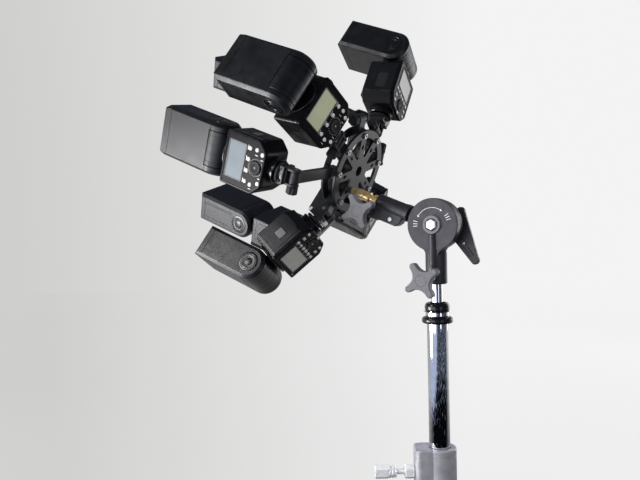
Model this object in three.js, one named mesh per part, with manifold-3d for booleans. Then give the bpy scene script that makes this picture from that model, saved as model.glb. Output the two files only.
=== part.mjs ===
// A wheel-shaped bracket for eight hot-shoe flash units, loaded with seven of them, on the tilt head and
// the top of a light stand. Millimetres, +Z up, origin on the stand's axis at the casting's lower end.

import * as THREE from 'three';
import { mergeVertices } from 'three/addons/utils/BufferGeometryUtils.js';
import Module from 'manifold-3d';

const wasm = await Module();
wasm.setup();

// Fits and cuts shared by all pieces

const fit = {
  running: 0.3, // gap between pieces that turn, slide or rest in a turned group
  overrun: 1, // how far a cutter passes the face that it cuts
};

const steps = { wheel: 40, large: 20, middle: 16, small: 12, tiny: 8, hex: 6, lobe: 4, window: 3 };

// Stand top

const casting = { radius: 23.5, height: 70, lugReach: 36.5, lugHalf: 20, lugCorner: 8 };
const castingScrew = {
  radius: 4.5, reach: 94, headRadius: 10.5, headLength: 20, flangeRadius: 9, flangeLength: 11,
  nutRadius: 11, nutLength: 14,
};
const column = { radius: 15, low: 10, length: 242 };
const collar = {
  lap: 4, footHeight: 11, footRadius: 22, bandHeight: 8, bandRadius: 17, capHeight: 10, capRadius: 17.8,
};
// The stud stands in the column by its insert, shows between collar and head, and fills the head's socket
const stud = { radius: 8, insert: 20, shown: 27, socket: 34 };

// Tilt head

const headTurn = 30; // degrees that the arm is turned away from the picture plane
const headTilt = 22; // degrees above level at rest

const swivel = {
  radius: 15.2, roof: 11, shoulderGap: 3, discRadius: 37.5, discNear: 1, discThick: 13,
  ribWidth: 9, ribDepth: 18.5, ribDrop: 19, ribGap: 3,
};
const knob = {
  lobes: 4, lobeRadius: 27, waistRadius: 13, lobeHalf: 4.5, thick: 13,
  hubRadius: 9, hubLength: 9, stemRadius: 4,
};
const studKnob = { rise: 9, reach: 37, turn: 32 };
const arm = {
  discRadius: 36, discNear: 0.5, discThick: 12.5, webHalf: 12, webStart: 15, tubeRadius: 12.5, tubeStart: 42,
  tubeEnd: 95, bossStart: 48, bossLow: 24, bossHalf: 9, umbrellaHole: 4.5, umbrellaAt: 66, umbrellaDrop: 17.5,
  lugStart: 84, lugEnd: 114, lugTop: 11, lugLow: 26, lugHalf: 8, boreStart: 52,
};
const spigotKnob = { along: 105, drop: 18.5, reach: 20, seat: 3, turn: 43 };
const bolt = {
  radius: 5, washerRadius: 13, washerThick: 3, hexRadius: 8, hexThick: 6, farEnd: 24,
};
const lever = {
  hubRadius: 12, hubStart: 14, hubEnd: 25, angle: 226, length: 78, tipHalf: 6, edgeAlong: 39, edgeAcross: 3,
  heelAlong: 8, heelAcross: 34, heelRadius: 6.3, thick: 6.5,
};
const spigot = {
  radius: 7.9, start: 54, flare: 103, waistRadius: 5.2, waistLength: 6, waistSlope: 2, neckSlope: 5,
  tipRadius: 4.8,
};

// Heights on the stand's axis, from the column upwards

const columnTop = column.low + column.length;
const collarLow = columnTop - collar.lap;
const collarTop = collarLow + collar.footHeight + collar.bandHeight + collar.capHeight;
const swivelLow = collarTop + stud.shown;
const studTop = swivelLow + stud.socket;
const shoulderDrop = arm.discRadius + swivel.shoulderGap;
const pivotHeight = studTop + swivel.roof + shoulderDrop;

// Bracket wheel, in the tilted frame: X along the arm, Z up from it

const wheel = {
  rear: 143, plateThick: 4, gap: 16, radius: 64, rimWidth: 12, coreRadius: 21, coreEdge: 1, spokeHalf: 6.5,
  boltInset: 8, boltHole: 2.6, gemInset: 14, gemLong: 5, gemWide: 3.4, padRadius: 13, eyeRadius: 8,
  bossRadius: 12, bossGap: 3, tipDepth: 11,
};
const stationCount = 8;
const firstStation = 17; // degrees from the wheel's top towards its near side
const stationStep = 360 / stationCount;

const link = { clamped: 18, width: 16, thick: 7, blockGap: 0.3, eyeRadius: 7, hole: 3.3 };

const windowOuter = wheel.radius - wheel.rimWidth;
const windowInner = wheel.coreRadius + wheel.coreEdge;
const boltRing = wheel.radius - wheel.boltInset;
const gemRing = windowOuter - wheel.gemInset;
// Height of the wheel's centre over the spigot, whose boss sits just inside the links
const wheelRise = wheel.radius - link.clamped - wheel.bossRadius - wheel.bossGap;

const knuckle = {
  cheekRadius: 8, cheekThick: 3.5, webStart: 8.5, webThick: 3.5, barThick: 9, shoeHalf: 12.5, floorThick: 3,
  railThick: 1.6, lip: 2.4, footPlay: 0.2,
};
const smallKnob = { radius: 8, length: 11, waist: 1.2, grips: 6, stemRadius: 3 };

// Flash unit, in its own frame: Z from the foot to the head, X the way the head looks when it is level

const flash = {
  width: 76, depth: 52, low: 20, top: 91, lowChamfer: 14, lowHalf: 24, edge: 4,
  footHalf: 9.3, footThick: 2, stemHalf: 6, ringLow: 5.2, ringRadius: 16, ringThick: 4.5,
  collarRadius: 19, waistRadius: 12,
};
const neck = { radius: 25.5, thick: 3.3, axis: 120.2, barrelHalf: 26, saddleHalf: 2.4, play: 0.5 };
const head = {
  half: 25, halfWidth: 37.5, length: 92, chamfer: 5, flareStart: 74, flare: 1.8, lensInset: 5, lensDeep: 2.5,
};

// How each station is loaded. Shift turns its link from an even share of the wheel, and reach is how far
// the pivot is outside the wheel's rim. Lean is the knuckle's angle from the link towards the front.
// The shoe stands off the pivot by its rise, and outwards by its offset. Each head is raised by the lean,
// so that all heads look along the arm.

const reach = { radial: 8, lower: 14, front: 16, long: 86 };
const rise = { short: 14, raised: 50, tall: 60 };
const offset = { front: 4, side: 76 };
const stations = [
  { shift: 0, reach: reach.front, lean: 90, rise: rise.raised, offset: offset.front, loaded: true },
  { shift: 0, reach: reach.radial, lean: 14, rise: rise.short, offset: 0, loaded: true },
  { shift: -9, reach: reach.long, lean: 90, rise: rise.short, offset: 0, loaded: true },
  { shift: 0, reach: reach.lower, lean: 20, rise: rise.short, offset: 0, loaded: true },
  { shift: 0, reach: reach.front, lean: 90, rise: rise.tall, offset: offset.side, loaded: true },
  { shift: 0, reach: reach.radial, lean: 18, rise: rise.short, offset: 0, loaded: true },
  { shift: 0, reach: reach.front, lean: 90, rise: rise.short, offset: offset.front, loaded: false },
  { shift: 0, reach: reach.radial, lean: 14, rise: rise.short, offset: 0, loaded: true },
];

// Finishes

const finish = {
  aluminium: new THREE.MeshStandardMaterial({ color: 0x8f8f98, roughness: 0.5, metalness: 0.8 }),
  chrome: new THREE.MeshStandardMaterial({ color: 0xd0d2d8, roughness: 0.12, metalness: 1 }),
  collarBlack: new THREE.MeshStandardMaterial({ color: 0x1d1d20, roughness: 0.5, metalness: 0.1 }),
  castBlack: new THREE.MeshStandardMaterial({ color: 0x4a4950, roughness: 0.55, metalness: 0.4 }),
  knobGrey: new THREE.MeshStandardMaterial({ color: 0x77767c, roughness: 0.6, metalness: 0 }),
  brass: new THREE.MeshStandardMaterial({ color: 0xc9a56b, roughness: 0.3, metalness: 1 }),
  plateGrey: new THREE.MeshStandardMaterial({ color: 0x3a3a3e, roughness: 0.45, metalness: 0.6 }),
  flashBlack: new THREE.MeshStandardMaterial({ color: 0x1c1c20, roughness: 0.55, metalness: 0 }),
};

const radians = THREE.MathUtils.degToRad;

// Shapes and booleans

function toSolid(geometry) {
  const bare = geometry.clone();
  bare.deleteAttribute('normal');
  bare.deleteAttribute('uv');
  const merged = mergeVertices(bare);
  const index = merged.index.array;
  const kept = [];
  for (let i = 0; i < index.length; i += 3) {
    const [a, b, c] = [index[i], index[i + 1], index[i + 2]];
    if (a !== b && b !== c && c !== a) kept.push(a, b, c);
  }
  const vertProperties = new Float32Array(merged.attributes.position.array);
  return new wasm.Manifold(new wasm.Mesh({ numProp: 3, vertProperties, triVerts: new Uint32Array(kept) }));
}

function moved(geometry, x, y, z) {
  return geometry.translate(x, y, z);
}

function block(lengths, centre = [0, 0, 0]) {
  return toSolid(moved(new THREE.BoxGeometry(...lengths), ...centre));
}

// A box given by its lowest and highest values along each axis
function span(x, y, z) {
  const middle = ([low, high]) => (low + high) / 2;
  return block([x, y, z].map(([low, high]) => high - low), [x, y, z].map(middle));
}

// A round bar from start to end along one axis, through the point that the other two values give
function bar(axis, radius, start, end, across = [0, 0], sides = steps.middle) {
  const geometry = new THREE.CylinderGeometry(radius, radius, end - start, sides);
  const middle = (start + end) / 2;
  const [first, second] = across;
  if (axis === 'x') return toSolid(moved(geometry.rotateZ(-Math.PI / 2), middle, first, second));
  if (axis === 'y') return toSolid(moved(geometry, first, middle, second));
  return toSolid(moved(geometry.rotateX(Math.PI / 2), first, second, middle));
}

// A turned piece round the X axis, from a list of radius and place along X
function turned(profile, sides = steps.middle) {
  const points = profile.map(([radius, along]) => new THREE.Vector2(radius, along));
  return toSolid(new THREE.LatheGeometry(points, sides).rotateZ(-Math.PI / 2));
}

// An outline drawn in the plane of two axes and given a thickness from start to end along the third
function slab(shape, axis, start, end, curveSteps = steps.tiny) {
  const geometry = new THREE.ExtrudeGeometry(shape, {
    depth: end - start, bevelEnabled: false, curveSegments: curveSteps,
  });
  geometry.translate(0, 0, start);
  const swapped = new THREE.Matrix4();
  if (axis === 'x') swapped.set(0, 0, 1, 0, 1, 0, 0, 0, 0, 1, 0, 0, 0, 0, 0, 1);
  if (axis === 'y') swapped.set(0, 1, 0, 0, 0, 0, 1, 0, 1, 0, 0, 0, 0, 0, 0, 1);
  geometry.applyMatrix4(swapped);
  return toSolid(geometry);
}

function outline(points) {
  return new THREE.Shape(points.map(([x, y]) => new THREE.Vector2(x, y)));
}

function joined(...solids) {
  return solids.reduce((all, next) => all.add(next));
}

function cut(solid, ...cutters) {
  return cutters.reduce((left, cutter) => left.subtract(cutter), solid);
}

function makeMesh(name, solid, material) {
  const data = solid.getMesh();
  const geometry = new THREE.BufferGeometry();
  geometry.setAttribute('position', new THREE.BufferAttribute(new Float32Array(data.vertProperties), 3));
  geometry.setIndex(new THREE.BufferAttribute(new Uint32Array(data.triVerts), 1));
  const mesh = new THREE.Mesh(geometry, material);
  mesh.name = name;
  return mesh;
}

// Stand top: casting, clamp screw, column, collar and stud

function castingSolid() {
  const middle = casting.height / 2;
  const cornerHalf = casting.lugHalf - casting.lugCorner;
  const cornerReach = casting.lugReach - casting.lugCorner;
  const lug = slab(outline([
    [0, -casting.lugHalf], [0, casting.lugHalf], [-cornerReach, casting.lugHalf],
    [-casting.lugReach, cornerHalf], [-casting.lugReach, -cornerHalf], [-cornerReach, -casting.lugHalf],
  ]), 'z', 0, casting.height);
  const round = bar('z', casting.radius, 0, casting.height, [0, 0], steps.large);
  const bore = bar(
    'z', column.radius + fit.running, -fit.overrun, casting.height + fit.overrun, [0, 0], steps.large,
  );
  const screwHole = bar(
    'x', castingScrew.radius + fit.running, -casting.lugReach - fit.overrun, 0,
    [0, middle], steps.small,
  );
  return cut(joined(round, lug), bore, screwHole);
}

function castingScrewSolid() {
  const middle = casting.height / 2;
  const headStart = -castingScrew.reach;
  const headEnd = headStart + castingScrew.headLength;
  const flangeEnd = headEnd + castingScrew.flangeLength;
  const nutEnd = -casting.lugReach - fit.running;
  const tip = -column.radius - fit.running - fit.running;
  return joined(
    bar('x', castingScrew.headRadius, headStart, headEnd, [0, middle], steps.hex),
    bar('x', castingScrew.flangeRadius, headEnd - fit.overrun, flangeEnd, [0, middle], steps.middle),
    bar('x', castingScrew.radius, headStart + fit.overrun, tip, [0, middle], steps.small),
    bar('x', castingScrew.nutRadius, nutEnd - castingScrew.nutLength, nutEnd, [0, middle], steps.hex),
  );
}

function collarSolid() {
  const footTop = collarLow + collar.footHeight;
  const bandTop = footTop + collar.bandHeight;
  const rings = joined(
    bar('z', collar.footRadius, collarLow, footTop, [0, 0], steps.large),
    bar('z', collar.bandRadius, footTop, bandTop, [0, 0], steps.large),
    bar('z', collar.capRadius, bandTop, collarTop, [0, 0], steps.large),
  );
  const columnSeat = bar(
    'z', column.radius + fit.running, collarLow - fit.overrun, columnTop + fit.running, [0, 0], steps.large,
  );
  const studHole = bar(
    'z', stud.radius + fit.running, collarLow, collarTop + fit.overrun, [0, 0], steps.middle,
  );
  return cut(rings, columnSeat, studHole);
}

function buildStand(stand) {
  stand.add(makeMesh('stand_casting', castingSolid(), finish.aluminium));
  stand.add(makeMesh('casting_screw', castingScrewSolid(), finish.chrome));
  const studLow = columnTop - stud.insert;
  const tube = bar('z', column.radius, column.low, columnTop, [0, 0], steps.large);
  const studSeat = bar(
    'z', stud.radius + fit.running, studLow - fit.running, columnTop + fit.overrun, [0, 0], steps.middle,
  );
  stand.add(makeMesh('stand_column', cut(tube, studSeat), finish.chrome));
  stand.add(makeMesh('column_collar', collarSolid(), finish.collarBlack));
  const studBar = bar('z', stud.radius, studLow, studTop, [0, 0], steps.middle);
  stand.add(makeMesh('stand_stud', studBar, finish.chrome));
}

// Tilt head: swivel body, tilting arm, bolt, lever, knobs and spigot

function swivelSolid() {
  const low = swivelLow - pivotHeight;
  const shoulder = -shoulderDrop;
  const discFar = swivel.discNear + swivel.discThick;
  const tube = bar('z', swivel.radius, low, shoulder, [0, 0], steps.large);
  const behind = span(
    [-swivel.discRadius, swivel.discRadius], [-swivel.discRadius, swivel.discNear],
    [shoulder, swivel.discRadius],
  );
  const upright = cut(bar('z', swivel.radius, shoulder, 0, [0, 0], steps.large), behind);
  const inFront = span([-swivel.radius, swivel.radius], [discFar, swivel.discRadius], [shoulder, 0]);
  const disc = bar('y', swivel.discRadius, swivel.discNear, discFar, [0, 0], steps.large);
  const rib = span(
    [-swivel.ribWidth / 2, swivel.ribWidth / 2],
    [swivel.discNear, swivel.ribDepth],
    [shoulder - swivel.ribDrop, -bolt.washerRadius - swivel.ribGap],
  );
  const studBore = bar(
    'z', stud.radius + fit.running, low - fit.overrun, studTop + fit.running - pivotHeight, [0, 0],
    steps.middle,
  );
  const boltHole = bar('y', bolt.radius + fit.running, 0, discFar + fit.overrun, [0, 0], steps.small);
  const knobHole = bar(
    'y', knob.stemRadius + fit.running, 0, swivel.radius + fit.overrun,
    [0, low + studKnob.rise], steps.small,
  );
  return cut(joined(tube, cut(upright, inFront), disc, rib), studBore, boltHole, knobHole);
}

// The outline of a star knob: round lobes with hollow arcs between them, the first lobe at an angle
function starShape(firstTurn) {
  const { lobes, lobeHalf, waistRadius } = knob;
  const star = new THREE.Shape();
  const between = Math.PI / lobes;
  const along = knob.lobeRadius - lobeHalf;
  const chordMiddle = along * Math.cos(between) + lobeHalf * Math.sin(between);
  const pull = 2 * waistRadius - chordMiddle;
  for (let i = 0; i < lobes; i += 1) {
    const turn = firstTurn + i * 2 * between;
    const next = turn + 2 * between;
    star.absarc(
      along * Math.cos(turn), along * Math.sin(turn), lobeHalf, turn - Math.PI / 2, turn + Math.PI / 2, false,
    );
    star.quadraticCurveTo(
      pull * Math.cos(turn + between), pull * Math.sin(turn + between),
      along * Math.cos(next) + lobeHalf * Math.sin(next), along * Math.sin(next) - lobeHalf * Math.cos(next),
    );
  }
  return star;
}

// Star knob on a threaded stem along Y, from the stem's tip to the knob's face
function starKnob(tip, seat, centre, turn) {
  const star = starShape(radians(turn));
  const [x, z] = centre;
  const face = seat + knob.hubLength;
  const disc = slab(star, 'y', face, face + knob.thick, steps.lobe).translate([x, 0, z]);
  const hub = bar('y', knob.hubRadius, seat, face + fit.overrun, [x, z], steps.small);
  const stem = bar('y', knob.stemRadius, tip, seat + fit.overrun, [x, z], steps.small);
  return joined(disc, hub, stem);
}

function armSolid() {
  const discFar = -arm.discNear - arm.discThick;
  const disc = bar('y', arm.discRadius, discFar, -arm.discNear, [0, 0], steps.large);
  const web = span(
    [arm.webStart, arm.tubeStart + arm.webHalf], [discFar, -arm.discNear], [-arm.webHalf, arm.webHalf],
  );
  const tube = bar('x', arm.tubeRadius, arm.tubeStart, arm.tubeEnd, [0, 0], steps.large);
  const boss = span([arm.bossStart, arm.tubeEnd], [-arm.bossHalf, arm.bossHalf], [-arm.bossLow, 0]);
  const lug = span([arm.lugStart, arm.lugEnd], [-arm.lugHalf, arm.lugHalf], [-arm.lugLow, -arm.lugTop]);
  const bore = bar('x', spigot.radius + fit.running, arm.boreStart, arm.lugEnd, [0, 0], steps.middle);
  const umbrella = bar(
    'y', arm.umbrellaHole, -arm.tubeRadius - fit.overrun, arm.tubeRadius + fit.overrun,
    [arm.umbrellaAt, -arm.umbrellaDrop], steps.small,
  );
  const boltHole = bar('y', bolt.radius + fit.running, discFar - fit.overrun, 0, [0, 0], steps.small);
  const knobHole = bar(
    'y', knob.stemRadius + fit.running, -arm.lugHalf - fit.overrun, arm.lugHalf + fit.overrun,
    [spigotKnob.along, -spigotKnob.drop], steps.small,
  );
  return cut(joined(disc, web, tube, boss, lug), bore, umbrella, boltHole, knobHole);
}

function boltSolid() {
  const faceNear = swivel.discNear + swivel.discThick + fit.running;
  const washerEnd = faceNear + bolt.washerThick;
  return joined(
    bar('y', bolt.radius, -bolt.farEnd, washerEnd + fit.overrun, [0, 0], steps.small),
    bar('y', bolt.washerRadius, faceNear, washerEnd, [0, 0], steps.middle),
    bar('y', bolt.hexRadius, washerEnd, washerEnd + bolt.hexThick, [0, 0], steps.hex),
  );
}

function leverSolid() {
  const near = -lever.hubEnd + lever.thick;
  const hub = bar('y', lever.hubRadius, -lever.hubEnd, -lever.hubStart, [0, 0], steps.middle);
  const blade = slab(outline([
    [0, 0], [lever.edgeAcross, lever.edgeAlong], [lever.tipHalf, lever.length - lever.tipHalf],
    [lever.tipHalf / 2, lever.length], [-lever.tipHalf / 2, lever.length],
    [-lever.tipHalf, lever.length - lever.tipHalf], [-lever.heelAcross - lever.heelRadius, lever.heelAlong],
    [-lever.heelAcross, lever.heelAlong - lever.heelRadius],
  ]), 'y', -lever.hubEnd, near);
  const heel = bar(
    'y', lever.heelRadius, -lever.hubEnd, near, [lever.heelAlong, -lever.heelAcross], steps.small,
  );
  const handle = joined(blade, heel).rotate([0, -lever.angle, 0]);
  const hole = bar('y', bolt.radius + fit.running, -lever.hubEnd - fit.overrun, 0, [0, 0], steps.small);
  return cut(joined(hub, handle), hole);
}

function spigotSolid() {
  const waistEnd = spigot.flare + spigot.waistLength;
  const neckEnd = wheel.rear - fit.running;
  const tip = wheel.rear + wheel.plateThick + wheel.tipDepth;
  return turned([
    [0, spigot.start], [spigot.radius, spigot.start], [spigot.radius, spigot.flare],
    [spigot.waistRadius, spigot.flare + spigot.waistSlope], [spigot.waistRadius, waistEnd],
    [spigot.radius, waistEnd + spigot.waistSlope], [spigot.radius, neckEnd - spigot.neckSlope],
    [spigot.tipRadius, neckEnd], [spigot.tipRadius, tip], [0, tip],
  ]);
}

function buildTiltHead(swivelGroup, tiltGroup) {
  swivelGroup.add(makeMesh('swivel_body', swivelSolid(), finish.castBlack));
  const studKnobTip = stud.radius + fit.running;
  const studKnobHeight = swivelLow + studKnob.rise - pivotHeight;
  const lowKnob = starKnob(studKnobTip, studKnob.reach, [0, studKnobHeight], studKnob.turn);
  swivelGroup.add(makeMesh('stud_knob', lowKnob, finish.knobGrey));
  swivelGroup.add(makeMesh('tilt_bolt', boltSolid(), finish.chrome));
  swivelGroup.add(makeMesh('lock_lever', leverSolid(), finish.castBlack));
  tiltGroup.add(makeMesh('tilt_arm', armSolid(), finish.castBlack));
  const highKnob = starKnob(
    -arm.lugHalf + spigotKnob.seat, spigotKnob.reach, [spigotKnob.along, -spigotKnob.drop], spigotKnob.turn,
  );
  tiltGroup.add(makeMesh('spigot_knob', highKnob, finish.knobGrey));
  tiltGroup.add(makeMesh('brass_spigot', spigotSolid(), finish.brass));
}

// Bracket wheel: two plates, the core between them, and the links

function stationAngle(index) {
  return radians(firstStation + index * stationStep + stations[index].shift);
}

// A point of the wheel's plane: Y towards the near side, Z up, from a radius and a station angle
function wheelPoint(radius, angle) {
  return [radius * Math.sin(angle), radius * Math.cos(angle)];
}

// A window between two spokes whose sides run parallel
function windowShape(angle) {
  const halfAt = (radius) => Math.PI / stationCount - Math.asin(wheel.spokeHalf / radius);
  const outer = halfAt(windowOuter);
  const inner = halfAt(windowInner);
  const shape = new THREE.Shape();
  const middle = Math.PI / 2 - angle;
  shape.absarc(0, 0, windowOuter, middle - outer, middle + outer, false);
  shape.absarc(0, 0, windowInner, middle + inner, middle - inner, true);
  shape.closePath();
  return shape;
}

function gemShape(angle) {
  const [y, z] = wheelPoint(gemRing, angle);
  const [outY, outZ] = wheelPoint(wheel.gemLong, angle);
  const [sideY, sideZ] = wheelPoint(wheel.gemWide, angle + Math.PI / 2);
  return outline([
    [y + outY, z + outZ], [y - sideY, z - sideZ], [y - outY, z - outZ], [y + sideY, z + sideZ],
  ]);
}

function plateSolid(start) {
  const end = start + wheel.plateThick;
  const past = [start - fit.overrun, end + fit.overrun];
  const cutters = [];
  for (let i = 0; i < stationCount; i += 1) {
    const spoke = radians(firstStation + i * stationStep);
    cutters.push(slab(windowShape(spoke + Math.PI / stationCount), 'x', ...past, steps.window));
    cutters.push(slab(gemShape(spoke), 'x', ...past));
    cutters.push(bar('x', wheel.boltHole, ...past, wheelPoint(boltRing, stationAngle(i)), steps.tiny));
  }
  const disc = bar('x', wheel.radius, start, end, [0, 0], steps.wheel);
  const pad = bar('x', wheel.padRadius, start, end, [0, -wheelRise], steps.middle);
  const eye = bar('x', wheel.eyeRadius, ...past, [0, 0], steps.middle);
  const tipHole = bar('x', spigot.tipRadius + fit.running, ...past, [0, -wheelRise], steps.small);
  return cut(joined(cut(disc, ...cutters), pad), eye, tipHole);
}

function coreSolid() {
  const start = wheel.rear + wheel.plateThick;
  const end = start + wheel.gap;
  const drum = bar('x', wheel.coreRadius, start, end, [0, 0], steps.large);
  const boss = bar('x', wheel.bossRadius, start, end, [0, -wheelRise], steps.middle);
  const bridge = span([start, end], [-wheel.bossRadius / 2, wheel.bossRadius / 2], [-wheelRise, 0]);
  const eye = bar('x', wheel.eyeRadius, start - fit.overrun, end + fit.overrun, [0, 0], steps.middle);
  const tipHole = bar(
    'x', spigot.tipRadius + fit.running, start - fit.overrun, start + wheel.tipDepth + fit.running,
    [0, -wheelRise], steps.small,
  );
  return cut(joined(drum, boss, bridge), eye, tipHole);
}

// A link lies along Z of its station frame, with its thickness along X and its pivot along Y
function linkSolid(station) {
  const half = link.width / 2;
  const pivot = wheel.radius + station.reach;
  const inner = wheel.radius - link.clamped;
  const blockHalf = wheel.gap / 2 - link.blockGap;
  const clamped = span([-blockHalf, blockHalf], [-half, half], [inner, wheel.radius]);
  const blade = span([-link.thick / 2, link.thick / 2], [-half, half], [inner, pivot]);
  const eye = bar('y', link.eyeRadius, -half, half, [0, pivot], steps.small);
  const hole = bar('y', link.hole, -half - fit.overrun, half + fit.overrun, [0, pivot], steps.tiny);
  const boltHole = bar(
    'x', wheel.boltHole, -wheel.gap, wheel.gap, [0, boltRing], steps.tiny,
  );
  return cut(joined(clamped, blade, eye), hole, boltHole);
}

// A knuckle starts at its pivot and carries the shoe at the station's rise, along Z
function knuckleSolid(station) {
  const inside = link.width / 2 + fit.running;
  const outside = inside + knuckle.cheekThick;
  const floorTop = station.rise;
  const floorLow = floorTop - knuckle.floorThick;
  const cheeks = [-1, 1].map((side) => {
    const [low, high] = [side * inside, side * outside].sort((a, b) => a - b);
    const round = bar('y', knuckle.cheekRadius, low, high, [0, 0], steps.small);
    const riser = span(
      [-knuckle.cheekRadius, knuckle.cheekRadius], [low, high], [0, knuckle.webStart + knuckle.webThick],
    );
    return joined(round, riser);
  });
  const web = span(
    [-knuckle.cheekRadius, knuckle.cheekRadius], [-outside, outside],
    [knuckle.webStart, knuckle.webStart + knuckle.webThick],
  );
  const climb = floorLow - knuckle.webStart;
  const stalkLength = Math.hypot(climb, station.offset);
  const stalkTurn = THREE.MathUtils.radToDeg(Math.atan2(-station.offset, climb));
  const stalk = span([-knuckle.barThick / 2, knuckle.barThick / 2], [-inside, inside], [0, stalkLength]);
  const room = span([-stalkLength, stalkLength], [-outside, outside], [knuckle.webStart, floorTop]);
  const placedStalk = stalk.rotate([0, stalkTurn, 0]).translate([0, 0, knuckle.webStart]).intersect(room);
  const floor = span(
    [-knuckle.shoeHalf, knuckle.shoeHalf], [-knuckle.shoeHalf, knuckle.shoeHalf], [floorLow, floorTop],
  );
  const slotTop = floorTop + flash.footThick + knuckle.footPlay * 2;
  const wallInside = flash.footHalf + knuckle.footPlay;
  const rails = [-1, 1].map((side) => {
    const [low, high] = [side * wallInside, side * knuckle.shoeHalf].sort((a, b) => a - b);
    const lipEnds = [side * (wallInside - knuckle.lip), side * knuckle.shoeHalf];
    const [lipLow, lipHigh] = lipEnds.sort((a, b) => a - b);
    return joined(
      span([-knuckle.shoeHalf, knuckle.shoeHalf], [low, high], [floorLow, slotTop + knuckle.railThick]),
      span([-knuckle.shoeHalf, knuckle.shoeHalf], [lipLow, lipHigh], [slotTop, slotTop + knuckle.railThick]),
    );
  });
  const shoe = joined(floor, ...rails).translate([-station.offset, 0, 0]);
  const pin = bar(
    'y', smallKnob.stemRadius + fit.running, -outside - fit.overrun, outside + fit.overrun, [0, 0],
    steps.tiny,
  );
  return cut(joined(...cheeks, web, placedStalk, shoe), pin);
}

function smallKnobSolid() {
  const outside = link.width / 2 + fit.running + knuckle.cheekThick;
  const start = outside + fit.running;
  const grip = new THREE.Shape();
  const count = smallKnob.grips * 2;
  for (let i = 0; i < count; i += 1) {
    const radius = smallKnob.radius - (i % 2) * smallKnob.waist;
    const turn = (i * 2 * Math.PI) / count;
    if (i === 0) grip.moveTo(radius, 0);
    else grip.lineTo(radius * Math.cos(turn), radius * Math.sin(turn));
  }
  grip.closePath();
  return joined(
    slab(grip, 'y', start, start + smallKnob.length),
    bar('y', smallKnob.stemRadius, -outside, start + fit.overrun, [0, 0], steps.tiny),
  );
}

// Flash unit: body with foot and lock ring, neck with barrel, and head

function bodySolid() {
  const half = flash.width / 2;
  const front = outline([
    [-flash.lowHalf, flash.low], [flash.lowHalf, flash.low], [half, flash.low + flash.lowChamfer],
    [half, flash.top], [-half, flash.top], [-half, flash.low + flash.lowChamfer],
  ]);
  const hull = slab(front, 'x', -flash.depth / 2, flash.depth / 2);
  const edges = [];
  for (const x of [-1, 1]) {
    for (const y of [-1, 1]) {
      const side = block([flash.edge * Math.SQRT2, flash.edge * Math.SQRT2, flash.top * 2]);
      edges.push(side.rotate([0, 0, 45]).translate([(x * flash.depth) / 2, y * half, flash.top]));
    }
  }
  const footLow = knuckle.footPlay;
  const foot = span(
    [-flash.footHalf, flash.footHalf], [-flash.footHalf, flash.footHalf],
    [footLow, footLow + flash.footThick],
  );
  const stem = span(
    [-flash.stemHalf, flash.stemHalf], [-flash.stemHalf, flash.stemHalf], [footLow, flash.low],
  );
  const ringTop = flash.ringLow + flash.ringThick;
  const ring = bar('z', flash.ringRadius, flash.ringLow, ringTop, [0, 0], steps.middle);
  const flangeLow = ringTop + fit.overrun;
  const flangeTop = flash.low + fit.overrun;
  const waist = bar('z', flash.waistRadius, flash.ringLow, flangeTop, [0, 0], steps.tiny);
  const round = bar('z', flash.collarRadius, flangeLow, flangeTop, [0, 0], steps.middle);
  return joined(cut(hull, ...edges), foot, stem, ring, waist, round);
}

function neckSolid() {
  const low = flash.top + fit.running;
  const disc = bar('z', neck.radius, low, low + neck.thick, [0, 0], steps.middle);
  const barrel = bar(
    'y', head.half, -neck.barrelHalf, neck.barrelHalf, [0, neck.axis], steps.large,
  );
  const saddle = span(
    [-neck.saddleHalf, neck.saddleHalf], [-neck.radius / 2, neck.radius / 2], [low, neck.axis],
  );
  return joined(disc, barrel, saddle);
}

// The head is drawn with its tilt axis at the origin and looking along X
function headSolid() {
  const section = (extra) => {
    const side = head.halfWidth + extra;
    const top = head.half + extra;
    const corner = head.chamfer;
    return outline([
      [-side + corner, -top], [side - corner, -top], [side, -top + corner], [side, top - corner],
      [side - corner, top], [-side + corner, top], [-side, top - corner], [-side, -top + corner],
    ]);
  };
  const main = slab(section(0), 'x', 0, head.length);
  const bezel = slab(section(head.flare), 'x', head.flareStart, head.length);
  const cheeks = bar('y', head.half, -head.halfWidth, head.halfWidth, [0, 0], steps.large);
  const inside = neck.barrelHalf + fit.running;
  const hollow = bar('y', head.half + neck.play, -inside, inside, [0, 0], steps.large);
  const lensHalf = head.halfWidth - head.lensInset;
  const lensTop = head.half - head.lensInset;
  const lens = span(
    [head.length - head.lensDeep, head.length + fit.overrun], [-lensHalf, lensHalf], [-lensTop, lensTop],
  );
  return cut(joined(main, bezel, cheeks), hollow, lens);
}

// Hangs one station's pieces in the wheel's group
function buildStation(wheelGroup, index) {
  const station = stations[index];
  const number = index + 1;
  const frame = new THREE.Group();
  frame.rotation.x = -stationAngle(index);
  wheelGroup.add(frame);
  frame.add(makeMesh(`arm_${number}`, linkSolid(station), finish.plateGrey));
  const hinge = new THREE.Group();
  hinge.position.set(0, 0, wheel.radius + station.reach);
  hinge.rotation.y = radians(station.lean);
  frame.add(hinge);
  hinge.add(makeMesh(`knuckle_${number}`, knuckleSolid(station), finish.plateGrey));
  hinge.add(makeMesh(`knuckle_knob_${number}`, smallKnobSolid(), finish.flashBlack));
  if (!station.loaded) return;
  const unit = new THREE.Group();
  unit.position.set(-station.offset, 0, station.rise);
  hinge.add(unit);
  unit.add(makeMesh(`flash_${number}_body`, bodySolid(), finish.flashBlack));
  unit.add(makeMesh(`flash_${number}_neck`, neckSolid(), finish.flashBlack));
  const tilt = new THREE.Group();
  tilt.position.set(0, 0, neck.axis);
  tilt.rotation.y = -radians(station.lean);
  unit.add(tilt);
  tilt.add(makeMesh(`flash_${number}_head`, headSolid(), finish.flashBlack));
}

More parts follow.
